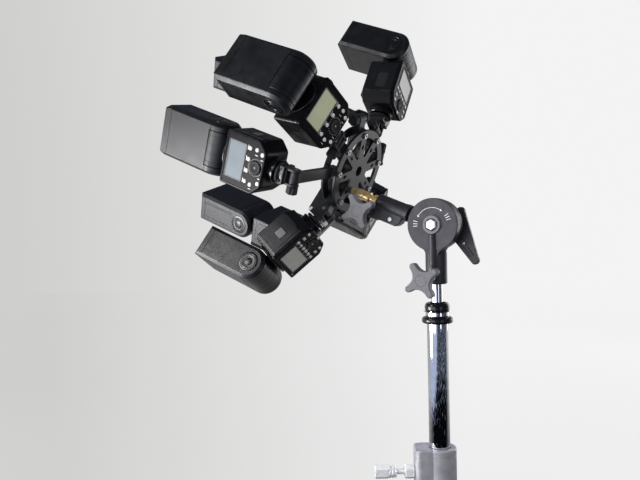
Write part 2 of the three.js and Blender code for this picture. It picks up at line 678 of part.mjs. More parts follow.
function buildBracket(tiltGroup) {
  const hub = new THREE.Group();
  hub.position.set(0, 0, wheelRise);
  tiltGroup.add(hub);
  const frontStart = wheel.rear + wheel.plateThick + wheel.gap;
  hub.add(makeMesh('hub_rear_plate', plateSolid(wheel.rear), finish.plateGrey));
  hub.add(makeMesh('hub_front_plate', plateSolid(frontStart), finish.plateGrey));
  hub.add(makeMesh('hub_core', coreSolid(), finish.plateGrey));
  const spokes = new THREE.Group();
  spokes.position.set(wheel.rear + wheel.plateThick + wheel.gap / 2, 0, 0);
  hub.add(spokes);
  for (let i = 0; i < stationCount; i += 1) buildStation(spokes, i);
}

const bracket = new THREE.Group();
buildStand(bracket);
const swivelGroup = new THREE.Group();
swivelGroup.position.set(0, 0, pivotHeight);
swivelGroup.rotation.z = Math.PI - radians(headTurn);
bracket.add(swivelGroup);
const tiltGroup = new THREE.Group();
tiltGroup.rotation.y = -radians(headTilt);
swivelGroup.add(tiltGroup);
buildTiltHead(swivelGroup, tiltGroup);
buildBracket(tiltGroup);

export default bracket;
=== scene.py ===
from math import asin, atan2, cos, degrees, hypot, pi, radians, sin

import bmesh
import bpy
from mathutils import Matrix, Vector


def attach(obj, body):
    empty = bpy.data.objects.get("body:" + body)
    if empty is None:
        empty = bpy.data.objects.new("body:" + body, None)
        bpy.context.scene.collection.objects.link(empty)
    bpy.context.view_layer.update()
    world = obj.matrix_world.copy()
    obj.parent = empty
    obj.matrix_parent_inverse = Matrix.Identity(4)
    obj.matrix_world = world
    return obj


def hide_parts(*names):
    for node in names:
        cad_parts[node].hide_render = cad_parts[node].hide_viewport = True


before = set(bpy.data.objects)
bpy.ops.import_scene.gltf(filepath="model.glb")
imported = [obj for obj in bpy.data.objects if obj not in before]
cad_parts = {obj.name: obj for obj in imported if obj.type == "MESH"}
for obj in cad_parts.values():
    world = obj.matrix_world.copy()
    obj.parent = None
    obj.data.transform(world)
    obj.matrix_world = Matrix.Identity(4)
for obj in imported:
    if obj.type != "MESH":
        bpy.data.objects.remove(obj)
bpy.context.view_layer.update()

mm = 0.001
touching = 1e-3  # mm, for points that count as being at the same place

# Working tools. Shapes are drawn in millimetres in a piece's own frame, and settle() puts them in place.


def planePoint(axis, along, pair):
    # a point from its place along the axis and its pair of values across it
    a, b = pair
    return {"x": (along, a, b), "y": (a, along, b), "z": (a, b, along)}[axis]


def arcPoints(centre, radius, first, last, count):
    # points on an arc, angles in degrees
    turns = [radians(first + (last - first) * i / (count - 1)) for i in range(count)]
    return [(centre[0] + radius * cos(t), centre[1] + radius * sin(t)) for t in turns]


def ringOf(count, radius, start=0.0):
    turns = [start + 2 * pi * i / count for i in range(count)]
    return [(radius * cos(t), radius * sin(t)) for t in turns]


def hexOutline(radius):
    return lambda grow: ringOf(6, radius + grow, pi / 6)


def boxOutline(low, high):
    return [(low[0], low[1]), (high[0], low[1]), (high[0], high[1]), (low[0], high[1])]


def barOutline(start, end, half):
    # a straight bar between two points
    side = Vector((start[1] - end[1], end[0] - start[0])).normalized() * half
    ends = ((start, 1), (end, 1), (end, -1), (start, -1))
    return [(point[0] + way * side.x, point[1] + way * side.y) for point, way in ends]


def rodProfile(radius, low, high):
    return [(0, low), (radius, low), (radius, high), (0, high)]


def edgesOf(verts):
    inside = set(verts)
    return list({e for v in verts for e in v.link_edges if e.other_vert(v) in inside})


def edgesAlong(bm, axis):
    k = "xyz".index(axis)
    runs = [(edge, edge.verts[1].co - edge.verts[0].co) for edge in bm.edges]
    return [edge for edge, run in runs if abs(run[k]) > 0.999 * run.length]


def edgesAt(bm, axis, value):
    # edges that lie in the plane where the axis has this value
    k = "xyz".index(axis)
    return [e for e in bm.edges if all(abs(v.co[k] - value) < touching for v in e.verts)]


def facesAt(bm, axis, value, least=0.0):
    # faces in that plane, larger than the least area
    k = "xyz".index(axis)
    found = [f for f in bm.faces if abs(f.calc_center_median()[k] - value) < touching]
    return [f for f in found if f.calc_area() > least]


def bevel(bm, edges, width, segments=2):
    bmesh.ops.bevel(bm, geom=edges, offset=width, offset_type="OFFSET", affect="EDGES", segments=segments,
                    profile=0.5, material=-1, clamp_overlap=True)


def stacked(bm, outlineAt, axis, levels):
    # an outline pulled along the axis from level to level, grown or shrunk at each by its own amount
    (first, grow), *others = levels
    face = bm.faces.new([bm.verts.new(planePoint(axis, first, pair)) for pair in outlineAt(grow)])
    verts = list(face.verts)
    for height, grow in others:
        pulled = bmesh.ops.extrude_face_region(bm, geom=[face])["geom"]
        if len(verts) > len(face.verts):
            bmesh.ops.delete(bm, geom=[face], context="FACES_ONLY")  # would be left inside
        face = next(part for part in pulled if isinstance(part, bmesh.types.BMFace))
        for v, pair in zip(face.verts, outlineAt(grow)):
            v.co = planePoint(axis, height, pair)
        verts += list(face.verts)
    return verts


def prism(bm, outline, axis, low, high, round=0.0, segments=2):
    verts = stacked(bm, lambda grow: outline, axis, [(low, 0), (high, 0)])
    if round:
        bevel(bm, edgesOf(verts), round, segments)
    return verts


def block(bm, low, high, round=0.0, segments=2):
    return prism(bm, boxOutline(low[:2], high[:2]), "z", low[2], high[2], round, segments)


def slab(outline, axis, low, high, corner, face=None, edge=0.0, steps=(3, 2)):
    # a flat shape with round corners, and round edges at one face
    bm = bmesh.new()
    prism(bm, outline, axis, low, high)
    bevel(bm, edgesAlong(bm, axis), corner, steps[0])
    if edge:
        bevel(bm, edgesAt(bm, axis, face), edge, steps[1])
    return bm


def turned(bm, profile, axis="z", centre=(0, 0), steps=48):
    # a profile of radius and height pairs, spun about an axis through the centre
    before = set(bm.verts)
    verts = [bm.verts.new((radius, 0, height)) for radius, height in profile]
    edges = [bm.edges.new(pair) for pair in zip(verts, verts[1:])]
    bmesh.ops.spin(bm, geom=verts + edges, cent=(0, 0, 0), axis=(0, 0, 1), angle=2 * pi, steps=steps,
                   use_merge=True)
    made = [v for v in bm.verts if v not in before]
    bmesh.ops.remove_doubles(bm, verts=made, dist=1e-4)
    made = [v for v in made if v.is_valid]
    turn = {"z": Matrix(), "x": Matrix.Rotation(pi / 2, 4, "Y"), "y": Matrix.Rotation(-pi / 2, 4, "X")}[axis]
    moved(bm, made, Matrix.Translation(planePoint(axis, 0, centre)) @ turn)
    return made


def moved(bm, verts, matrix):
    bmesh.ops.transform(bm, matrix=matrix, verts=[v for v in verts if v.is_valid])


def asMesh(bm, sharp=32):
    # closes off a shape: faces outwards, smooth, with creases kept at edges sharper than this many degrees
    bmesh.ops.recalc_face_normals(bm, faces=bm.faces)
    for face in bm.faces:
        face.smooth = True
    for edge in bm.edges:
        edge.smooth = edge.calc_face_angle(pi) < radians(sharp)
    mesh = bpy.data.meshes.new("shape")
    bm.to_mesh(mesh)
    bm.free()
    mesh.validate()  # drops a face that a cut left without width, before the mesh is copied
    return mesh


def lathed(profile, axis="z", centre=(0, 0), steps=48, sharp=32):
    bm = bmesh.new()
    turned(bm, profile, axis, centre, steps)
    return asMesh(bm, sharp)


def carved(mesh, cutter, sharp=32):
    # takes the cutter's shape out of the mesh
    body = bpy.data.objects.new("body", mesh)
    tool = bpy.data.objects.new("tool", cutter)
    for obj in (body, tool):
        bpy.context.scene.collection.objects.link(obj)
    cut = body.modifiers.new("cut", "BOOLEAN")
    cut.operation = "DIFFERENCE"
    cut.solver = "EXACT"
    cut.use_self = True
    cut.object = tool
    result = bpy.data.meshes.new_from_object(body.evaluated_get(bpy.context.evaluated_depsgraph_get()))
    bpy.data.objects.remove(body)
    bpy.data.objects.remove(tool)
    bm = bmesh.new()
    bm.from_mesh(result)
    bmesh.ops.remove_doubles(bm, verts=bm.verts, dist=1e-4)
    return asMesh(bm, sharp)


def settle(body, place, slot, *pieces):
    # puts copies of meshes on one body, each with its place in its vertices.
    # A piece is its name, mesh and material, then the solids that it replaces, if any.
    for name, mesh, material, *replaces in pieces:
        mesh = mesh.copy()
        mesh.name = name
        mesh.transform(Matrix.Scale(mm, 4) @ place)
        mesh.materials.clear()
        mesh.materials.append(material)
        piece = bpy.data.objects.new(name, mesh)
        bpy.context.scene.collection.objects.link(piece)
        flat = piece.modifiers.new("flat faces stay flat", "WEIGHTED_NORMAL")
        flat.keep_sharp = True
        flat.weight = 100
        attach(piece, body)
        if replaces:
            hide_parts(*replaces)


# Materials


def srgb(text):
    # hex colour to linear
    parts = [int(text[i:i + 2], 16) / 255 for i in (0, 2, 4)]
    return [p / 12.92 if p <= 0.04045 else ((p + 0.055) / 1.055) ** 2.4 for p in parts] + [1.0]


def addNode(tree, kind, settings, ramp=()):
    # adds a node, sets or links its inputs and gives its outputs; a colour ramp also has stops
    node = tree.nodes.new(kind)
    for key, value in settings.items():
        if isinstance(value, bpy.types.NodeSocket):
            tree.links.new(value, node.inputs[key])
        elif isinstance(key, int) or key in node.inputs:
            node.inputs[key].default_value = value
        else:
            setattr(node, key, value)
    for stop, (position, colour) in enumerate(ramp):
        node.color_ramp.elements[stop].position = position
        node.color_ramp.elements[stop].color = srgb(colour)
    return node.outputs


def finish(name, tones, spots, roughness, metallic=0.0, sheen=None, grain=None, more=None, between=(0.3, 0.7),
           sheenFromGrain=False):
    # tones: two colours; soft spots lead from one to the other, between these values of theirs
    # spots: their size in mm and their detail
    # sheen: the least and the most roughness, and the values of the spots where they are reached
    # grain: size and depth of the relief in mm, its strength and detail, and its scale along Z
    material = bpy.data.materials.new(name)
    material.use_nodes = True
    tree = material.node_tree
    shader = tree.nodes["Principled BSDF"].inputs
    start = {"Base Color": srgb(tones[0]), "Roughness": roughness, "Metallic": metallic}
    for key, value in {**start, **(more or {})}.items():
        shader[key].default_value = value
    place = addNode(tree, "ShaderNodeTexCoord", {})["Object"]
    size, detail = spots
    noise = {"Vector": place, "Scale": 1 / (size * mm), "Detail": detail, "Roughness": 0.6}
    patches = addNode(tree, "ShaderNodeTexNoise", noise)["Fac"]
    colour = addNode(tree, "ShaderNodeValToRGB", {"Fac": patches}, zip(between, tones))[0]
    tree.links.new(colour, shader["Base Color"])
    if grain:
        size, depth, strength, detail, drawn = (grain + (3.0, 1.0))[:5]
        if drawn != 1.0:
            place = addNode(tree, "ShaderNodeMapping", {"Vector": place, "Scale": (1.0, 1.0, drawn)})[0]
        noise = {"Vector": place, "Scale": 1 / (size * mm), "Detail": detail, "Roughness": 0.6}
        height = addNode(tree, "ShaderNodeTexNoise", noise)["Fac"]
        relief = {"Height": height, "Distance": depth * mm, "Strength": strength}
        tree.links.new(addNode(tree, "ShaderNodeBump", relief)[0], shader["Normal"])
    if sheen:
        least, most, low, high = (sheen + (0.3, 0.7))[:4]
        spread = {"Value": height if sheenFromGrain else patches, "From Min": low, "From Max": high,
                  "To Min": least, "To Max": most}
        tree.links.new(addNode(tree, "ShaderNodeMapRange", spread)[0], shader["Roughness"])
    return material


def mouldedAbs(name, tones, roughness):
    # injection-moulded ABS with a spark-eroded grain: soft broad highlights
    return finish(name, tones, (18, 3.0), roughness, sheen=(roughness - 0.05, roughness + 0.07),
                  grain=(0.7, 0.05, 0.4))


def glossAbs(name, shine):
    # ABS from polished tool faces: near black, tighter highlights, faint finger marks
    return finish(name, ("0d0d0f", "161619"), (9, 5.0), 0.2, sheen=(0.14, 0.3),
                  more={"Specular IOR Level": shine})


def displayWindow(name, tones):
    # reflective LCD behind a clear window: flat pale field, slightly uneven, with a soft shine
    return finish(name, tones, (30, 1.0), 0.4, grain=(0.8, 0.01, 0.4), more={"Specular IOR Level": 0.2},
                  between=(0.2, 0.5))


def printedWhite():
    # pad-printed white ink and pale silicone keys: flat, a little worn
    return finish("white pad print", ("c9c9c6", "f1f1ee"), (2.5, 5.0), 0.5, between=(0.3, 0.5))


def rubberGrip():
    # matt dark rubber, slightly dusty
    return finish("matt moulded rubber", ("161618", "242427"), (3, 5.0), 0.7, grain=(0.9, 0.08, 0.6))


def knobPlastic():
    # glass-filled nylon: grey and finely mottled
    return finish("glass-filled nylon", ("5c5b61", "76757b"), (1.6, 6.0), 0.5, grain=(0.8, 0.06, 0.6))


def paintedCasting():
    # die-cast aluminium with satin grey-black paint: slightly pebbled and a little patchy
    return finish("painted die-cast aluminium", ("222126", "313036"), (22, 4.0), 0.42, sheen=(0.38, 0.5),
                  grain=(1.2, 0.05, 0.5))


def lightenedEnamel(name, tones):
    # the casting's satin paint made lighter, as painted light on the tilt disc's flat face and its boss,
    # which face the light; a little patchy
    return finish(name, tones, (10, 4.0), 0.4, grain=(1.0, 0.03, 0.5), more={"Specular IOR Level": 0.25})


def polishedChrome():
    # bright chrome plate over steel tube: mirror-like with hairline scratches and a few dull spots
    return finish("polished chrome plate", ("dcdde1", "c2c4cc"), (7, 6.0), 0.06, 1.0,
                  sheen=(0.02, 0.1, 0.45, 0.75), grain=(0.9, 0.0015, 0.5, 4.0, 0.06), between=(0.4, 0.8))


def castAluminium():
    # sand-cast aluminium, tumbled: grey, pebbled, slightly pitted, with the pits a little duller
    return finish("tumbled cast aluminium", ("b2b3c0", "d2d1d4"), (16, 4.0), 0.42, 0.5, sheen=(0.34, 0.5),
                  grain=(1.5, 0.15, 0.5, 6.0, 1.0), sheenFromGrain=True)


def turnedBrass():
    # turned brass bar: warm and fairly bright, a little tarnished in spots
    return finish("turned brass", ("dcbc80", "eed5a2"), (9, 3.0), 0.3, 0.55, sheen=(0.26, 0.36))


def plateCoating(tones):
    # laser-cut plate with a satin black coat that catches grey light
    return finish("satin powder coat", tones, (12, 4.0), 0.4, grain=(1.0, 0.05, 0.4),
                  more={"Specular IOR Level": 0.28})


def platedSteel(name, tones, metallic):
    # plated steel screws and rods, with slight waves in the shine
    return finish(name, tones, (8, 2.0), 0.3, metallic, sheen=(0.26, 0.34))


def clearLens():
    # clear polycarbonate panel over a bright reflector: milky white with a shine
    return finish("clear polycarbonate", ("b9bec4", "dfe2e4"), (12, 2.0), 0.12,
                  more={"Coat Weight": 0.6, "Coat Roughness": 0.05})


satinAbs = mouldedAbs("satin moulded ABS", ("0b0b0d", "131316"), 0.36)
greyKey = mouldedAbs("grey moulded ABS", ("5c5c60", "6c6c70"), 0.5)
# pale grey for the painted highlight strips on a chamfer
paintedHighlightGrey = mouldedAbs("pale grey ABS for a painted highlight", ("d4d4d9", "e2e2e6"), 0.4)
gloss = glossAbs("glossy moulded ABS", 0.5)
rearGloss = glossAbs("rear shell ABS", 0.1)
panelBlack = glossAbs("rear panel ABS", 0.07)
white = printedWhite()
rubber = rubberGrip()
nylon = knobPlastic()
casting = paintedCasting()
# the casting's paint, lighter: painted light on the disc's flat face
litFaceGrey = lightenedEnamel("satin enamel lightened for painted light", ("3f3e44", "504f55"))
# lighter still: painted light on the raised boss round the bolt
litBossGrey = lightenedEnamel("enamel lightened further for painted light", ("737279", "828188"))
chrome = polishedChrome()
aluminium = castAluminium()
brass = turnedBrass()
linkBlack = plateCoating(("222326", "303134"))
plateGrey = plateCoating(("17181b", "242528"))
zinc = platedSteel("bright zinc plate", ("eff0f4", "fafbfd"), 0.2)
steel = platedSteel("dull plated steel", ("85868a", "9c9da1"), 0.6)
lens = clearLens()
print("materials made")

# Camera, lamps and stage

cameraSetup = {
    "place": (-147.2, -967.8, 400.2),  # mm
    "across": (0.9996, 0.0171, -0.0244),  # the picture's right in the part's frame
    "up": (0.0239, 0.0317, 0.9992),
    "focal": 38.25, "sensor": 36,  # mm
    "nearest": 10,  # mm
}


def placeCamera():
    data = bpy.data.cameras.new("camera")
    data.lens = cameraSetup["focal"]
    data.sensor_width = cameraSetup["sensor"]
    data.clip_start = cameraSetup["nearest"] * mm
    cam = bpy.data.objects.new("camera", data)
    across = Vector(cameraSetup["across"]).normalized()
    back = across.cross(Vector(cameraSetup["up"])).normalized()
    up = back.cross(across)
    turn = Matrix((across, up, back)).transposed().to_4x4()
    cam.matrix_world = Matrix.Translation(Vector(cameraSetup["place"]) * mm) @ turn
    bpy.context.scene.collection.objects.link(cam)
    bpy.context.scene.camera = cam


lamps = [
    # name, place and aim in mm, width and height in mm, power in watts
    ("left softbox", (-1397, -220, 138), (-150, 0, 430), 620, 560, 15),
    ("low left board", (-1020, -100, 60), (-200, 0, 380), 420, 480, 6),
    ("front left card", (-920, -966, 330), (-50, 0, 330), 800, 640, 4),
    ("left top card", (-1320, -570, 1180), (-250, 0, 400), 420, 420, 6),
    ("right strip", (1100, 900, 420), (0, 0, 380), 260, 1200, 4),
    ("front right strip", (650, -1250, 330), (-50, 0, 330), 200, 640, 1),
]


def addLamps():
    for name, place, aim, width, height, power in lamps:
        data = bpy.data.lights.new(name, "AREA")
        data.shape = "RECTANGLE"
        data.size = width * mm
        data.size_y = height * mm
        data.energy = power
        lamp = bpy.data.objects.new(name, data)
        turn = (Vector(aim) - Vector(place)).to_track_quat("-Z", "Y").to_matrix().to_4x4()
        lamp.matrix_world = Matrix.Translation(Vector(place) * mm) @ turn
        bpy.context.scene.collection.objects.link(lamp)


backdrop = {
    "left": "cfcfcd", "right": "f3f3f3",  # the tones at the two sides of the picture
    "leftEdge": -0.42, "rightEdge": 0.2,  # sideways parts of the view direction where they are reached
    "floorHalf": 3.0, "drop": 0.0005,  # metres
    "fanX": 0.15, "fanY": 0.97, "fanLeast": 0.8,  # metres; the floor's tones fan out towards the back
    "near": 0.96, "nearFrom": 0.2, "nearTo": 1.2,  # strength of the tone near the part, and Y as it goes to 1
    "seen": 0.9, "seenFrom": 1.2, "seenTo": 2.9,  # its share in what the camera sees of the floor, likewise
    "behindFrom": -0.1, "behindTo": 0.5,  # Y where mirrors go from the dark room to the pale sweep
    "roomDark": "07080c", "roomPatch": "c4d0ec",  # what mirrors see of the floor in front of the part
    "wallDark": "0c0d12", "wallPatch": "a9bce4",  # and of the room
    "patchFrom": 0.52, "patchTo": 0.68,
}


def sweepTone(tree, value):
    # the backdrop's tone, darker to the left
    span = {"Value": value, "From Min": backdrop["leftEdge"], "From Max": backdrop["rightEdge"]}
    share = addNode(tree, "ShaderNodeMapRange", span)[0]
    ends = [(0.0, backdrop["left"]), (1.0, backdrop["right"])]
    return addNode(tree, "ShaderNodeValToRGB", {"Fac": share}, ends)[0]


def floorPaper():
    # matt paper: the camera sees it nearly as plain as the backdrop, with soft shadows left in it.
    # Mirrors see the pale sweep behind the part and a dark studio floor with pale patches in front of it.
    material = bpy.data.materials.new("pale floor")
    material.use_nodes = True
    tree = material.node_tree
    place = addNode(tree, "ShaderNodeTexCoord", {})["Object"]
    parts = addNode(tree, "ShaderNodeSeparateXYZ", {"Vector": place})
    across = addNode(tree, "ShaderNodeMath", {"operation": "ADD", 0: parts["X"], 1: backdrop["fanX"]})[0]
    along = addNode(tree, "ShaderNodeMath", {"operation": "ADD", 0: parts["Y"], 1: backdrop["fanY"]})[0]
    along = addNode(tree, "ShaderNodeMath", {"operation": "MAXIMUM", 0: along, 1: backdrop["fanLeast"]})[0]
    tone = sweepTone(tree, addNode(tree, "ShaderNodeMath", {"operation": "DIVIDE", 0: across, 1: along})[0])
    strength = addNode(tree, "ShaderNodeMapRange", {
        "Value": parts["Y"], "From Min": backdrop["nearFrom"], "From Max": backdrop["nearTo"],
        "To Min": backdrop["near"]})[0]
    share = addNode(tree, "ShaderNodeMapRange", {
        "Value": parts["Y"], "From Min": backdrop["seenFrom"], "From Max": backdrop["seenTo"],
        "To Min": backdrop["seen"]})[0]
    paper = addNode(tree, "ShaderNodeBsdfDiffuse", {"Color": tone})[0]
    plain = addNode(tree, "ShaderNodeEmission", {"Color": tone, "Strength": strength})[0]
    shown = addNode(tree, "ShaderNodeMixShader", {0: share, 1: paper, 2: plain})[0]
    # the patches in mirrors: more of them near the part, and to its left
    noise = {"Vector": place, "Scale": 1 / (60 * mm), "Detail": 5.0, "Roughness": 0.6}
    patches = addNode(tree, "ShaderNodeTexNoise", noise)["Fac"]
    reach = addNode(tree, "ShaderNodeVectorMath", {"operation": "LENGTH", 0: place})["Value"]
    for value, low, high, least, most in ((parts["X"], -0.6, -0.25, 0.3, 0.0),
                                          (reach, 0.35, 0.8, -0.1, 0.02)):
        extra = addNode(tree, "ShaderNodeMapRange", {
            "Value": value, "From Min": low, "From Max": high, "To Min": least, "To Max": most})[0]
        patches = addNode(tree, "ShaderNodeMath", {"operation": "ADD", 0: patches, 1: extra})[0]
    dark = addNode(tree, "ShaderNodeValToRGB", {"Fac": patches}, [
        (backdrop["patchFrom"], backdrop["roomDark"]), (backdrop["patchTo"], backdrop["roomPatch"])])[0]
    front = addNode(tree, "ShaderNodeEmission", {"Color": dark})[0]
    sweep = addNode(tree, "ShaderNodeEmission", {"Color": tone, "Strength": 0.8})[0]
    behind = addNode(tree, "ShaderNodeMapRange", {
        "Value": parts["Y"], "From Min": backdrop["behindFrom"], "From Max": backdrop["behindTo"]})[0]
    mirrored = addNode(tree, "ShaderNodeMixShader", {0: behind, 1: front, 2: sweep})[0]
    matt = tree.nodes["Principled BSDF"]
    matt.inputs["Base Color"].default_value = srgb("3a3b40")
    matt.inputs["Roughness"].default_value = 0.9
    path = addNode(tree, "ShaderNodeLightPath", {})
    others = {0: path["Is Glossy Ray"], 1: matt.outputs[0], 2: mirrored}
    unseen = addNode(tree, "ShaderNodeMixShader", others)[0]
    mix = addNode(tree, "ShaderNodeMixShader", {0: path["Is Camera Ray"], 1: unseen, 2: shown})[0]
    tree.links.new(mix, tree.nodes["Material Output"].inputs["Surface"])
    return material


def addWorld():
    # pale wall behind the part, dark room with a few dim patches in front of it and above
    world = bpy.data.worlds.new("studio")
    world.use_nodes = True
    tree = world.node_tree
    direction = addNode(tree, "ShaderNodeTexCoord", {})["Generated"]
    parts = addNode(tree, "ShaderNodeSeparateXYZ", {"Vector": direction})
    path = addNode(tree, "ShaderNodeLightPath", {})
    behind = addNode(tree, "ShaderNodeMapRange", {
        "Value": parts["Y"], "From Min": backdrop["behindFrom"], "From Max": backdrop["behindTo"]})[0]
    below = addNode(tree, "ShaderNodeMapRange", {
        "Value": parts["Z"], "From Min": 0.15, "From Max": 0.5, "To Min": 1.0, "To Max": 0.0})[0]
    wall = addNode(tree, "ShaderNodeMath", {"operation": "MULTIPLY", 0: behind, 1: below})[0]
    stretched = addNode(tree, "ShaderNodeMapping", {"Vector": direction, "Scale": (1.0, 1.0, 0.5)})[0]
    noise = {"Vector": stretched, "Scale": 11.0, "Detail": 5.0, "Roughness": 0.65}
    clutter = addNode(tree, "ShaderNodeTexNoise", noise)["Fac"]
    room = addNode(tree, "ShaderNodeValToRGB", {"Fac": clutter}, [
        (0.5, backdrop["wallDark"]), (backdrop["patchTo"], backdrop["wallPatch"])])[0]
    plain = addNode(tree, "ShaderNodeValToRGB", {"Fac": parts["Z"]}, [(0.2, "bcbcc0"), (0.9, "ffffff")])[0]
    front = addNode(tree, "ShaderNodeMixRGB", {
        "Fac": path["Is Glossy Ray"], "Color1": plain, "Color2": room})[0]
    colour = addNode(tree, "ShaderNodeMixRGB", {"Fac": wall, "Color1": front, "Color2": srgb("eef0f6")})[0]
    around = tree.nodes["Background"]
    tree.links.new(colour, around.inputs["Color"])
    seen = addNode(tree, "ShaderNodeBackground", {"Color": sweepTone(tree, parts["X"])})[0]
    mix = addNode(tree, "ShaderNodeMixShader", {0: path["Is Camera Ray"], 1: around.outputs[0], 2: seen})[0]
    tree.links.new(mix, tree.nodes["World Output"].inputs["Surface"])
    bpy.context.scene.world = world


def addStage():
    bm = bmesh.new()
    bmesh.ops.create_grid(bm, x_segments=1, y_segments=1, size=backdrop["floorHalf"])
    mesh = asMesh(bm)
    mesh.materials.append(floorPaper())
    floor = bpy.data.objects.new("floor", mesh)
    floor.location.z = -backdrop["drop"]
    bpy.context.scene.collection.objects.link(floor)
    addWorld()


placeCamera()
addLamps()
addStage()
bpy.context.scene.view_settings.view_transform = "Standard"
print("camera, lamps and stage placed")

# Frames of the tilted arm, the wheel and its stations, as in the solids

layout = {
    "pivotHeight": 388, "headTurn": 30, "headTilt": 22, "wheelRise": 31, "wheelRear": 143, "plateThick": 4,
    "wheelGap": 16, "firstStation": 17, "headAxis": 120.2,
}
stations = [
    # shift in degrees, reach in mm, lean in degrees, rise and offset of the shoe in mm, flash unit or not
    (0, 80, 90, 50, 4, True), (0, 72, 14, 14, 0, True), (-9, 150, 90, 14, 0, True), (0, 78, 20, 14, 0, True),
    (0, 80, 90, 60, 76, True), (0, 72, 18, 14, 0, True), (0, 80, 90, 14, 4, False), (0, 72, 14, 14, 0, True),
]
swivelFrame = (Matrix.Translation((0, 0, layout["pivotHeight"]))
               @ Matrix.Rotation(pi - radians(layout["headTurn"]), 4, "Z"))
tiltFrame = swivelFrame @ Matrix.Rotation(-radians(layout["headTilt"]), 4, "Y")
wheelFrame = tiltFrame @ Matrix.Translation((0, 0, layout["wheelRise"]))
wheelMiddle = layout["wheelRear"] + layout["plateThick"] + layout["wheelGap"] / 2


def stationAngle(i):
    return radians(layout["firstStation"] + 45 * i + stations[i][0])


def stationFrame(i):
    return wheelFrame @ Matrix.Translation((wheelMiddle, 0, 0)) @ Matrix.Rotation(-stationAngle(i), 4, "X")


def hingeFrame(i):
    return (stationFrame(i) @ Matrix.Translation((0, 0, stations[i][1]))
            @ Matrix.Rotation(radians(stations[i][2]), 4, "Y"))


def unitFrame(i):
    return hingeFrame(i) @ Matrix.Translation((-stations[i][4], 0, stations[i][3]))


def headFrame(i):
    return (unitFrame(i) @ Matrix.Translation((0, 0, layout["headAxis"]))
            @ Matrix.Rotation(-radians(stations[i][2]), 4, "Y"))


# Flash unit. X is the way the head looks when level, Z goes from the foot to the head.

flash = {
    "halfWidth": 38, "halfDepth": 26, "low": 20, "top": 91, "lowHalf": 24, "lowChamfer": 14,
    "seam": 20.5,  # how far behind the middle the rear shell starts
    "groove": 0.5, "grooveDeep": 0.9,  # parting lines
    "topChamfer": 6.0,  # on the casings that have one
    "panelInset": 3.2, "panelDeep": 0.7,
    "lcdHalf": 25, "lcdLow": 55, "lcdTop": 83,
    "dialRadius": 10.5, "dialHeight": 34, "ticks": 28,
    "printed": 0.12, "sunk": 0.2,  # how far printing stands out of the panel and goes into it
}
panelFace = flash["panelDeep"] - flash["halfDepth"]
beyond = 60  # mm, past any side of a flash unit


def bodyOutline(grow=0.0):
    half, low, top = flash["halfWidth"] + grow, flash["low"] - grow, flash["top"] + grow
    lowHalf = flash["lowHalf"] + grow
    shoulder = flash["low"] + flash["lowChamfer"] - grow / 2
    return [(-lowHalf, low), (lowHalf, low), (half, shoulder), (half, top), (-half, top), (-half, shoulder)]


def bodyShell(topChamfer):
    # with a chamfer of this width along the two upper edges, or rounded edges all round for zero
    bm = bmesh.new()
    back, front, top = -flash["seam"], flash["halfDepth"], flash["top"]
    prism(bm, bodyOutline(-0.4), "x", back, front)
    if topChamfer:
        bevel(bm, [e for e in edgesAlong(bm, "x") if e.verts[0].co.z > top - 1], topChamfer, 1)
    bevel(bm, edgesAlong(bm, "x"), 1.0 if topChamfer else 3.0, 3)
    bevel(bm, edgesAt(bm, "x", front), 4.5, 4)
    bevel(bm, edgesAt(bm, "x", back), 0.6, 1)
    # parting lines round the casing, and the recess of the front window
    cutter = bmesh.new()
    line, level = 4.0, top - 9.2
    for side in (-1, 1):
        low, high = sorted((side * (flash["halfWidth"] - flash["grooveDeep"]), side * beyond))
        block(cutter, (line, low, 0), (line + flash["groove"], high, 200))
        block(cutter, (-beyond, low, level), (beyond, high, level + flash["groove"]))
    block(cutter, (front - 0.6, -26, 30), (front + 5, 26, 60), 1.5)
    return carved(asMesh(bm), asMesh(cutter))


def rearShell():
    # the rear shell with its sunk panel, and the panel's own plate
    back, seam, inset = -flash["halfDepth"], -flash["seam"] - 0.5, flash["panelInset"]
    bm = slab(bodyOutline(), "x", back, seam, 3.0, seam, 0.5, (3, 1))
    rounding = 1.6
    bevel(bm, edgesAt(bm, "x", back), rounding, 3)
    bmesh.ops.inset_region(bm, faces=facesAt(bm, "x", back), thickness=inset - rounding, depth=0)
    bmesh.ops.inset_region(bm, faces=facesAt(bm, "x", back, 2000), thickness=0.4, depth=-flash["panelDeep"])
    plate = slab(bodyOutline(-inset - 0.5), "x", panelFace - 0.1, panelFace + flash["sunk"], 2.0)
    return asMesh(bm), asMesh(plate)


def displayParts():
    # a raised rim and the display inside it
    half, low, top, wide = flash["lcdHalf"], flash["lcdLow"], flash["lcdTop"], 1.4
    rimFace, fieldFace = panelFace - 0.9, panelFace - 0.55
    outline = boxOutline((-half - wide, low - wide), (half + wide, top + wide))
    rim = slab(outline, "x", rimFace, panelFace + 0.4, 1.6)
    bmesh.ops.inset_region(rim, faces=facesAt(rim, "x", rimFace), thickness=1.0, depth=0)
    bmesh.ops.inset_region(rim, faces=facesAt(rim, "x", rimFace, 900), thickness=0.3, depth=-0.5)
    field = slab(boxOutline((-half, low), (half, top)), "x", fieldFace, panelFace + flash["sunk"], 0.8,
                 fieldFace, 0.15, (2, 1))
    return asMesh(rim), asMesh(field)


def keyDome(bm, centre, radius, height):
    # a round key standing out of the rear panel
    shape = [(0, height), (radius * 0.7, height), (radius, height * 0.55), (radius, -0.3), (0, -0.3)]
    turned(bm, [(reach, panelFace - out) for reach, out in shape], "x", centre, 16)


def printedBar(bm, low, high):
    # a flat mark printed on the rear panel, from its lower to its upper corner
    return block(bm, (panelFace - flash["printed"], *low), (panelFace + flash["sunk"], *high))


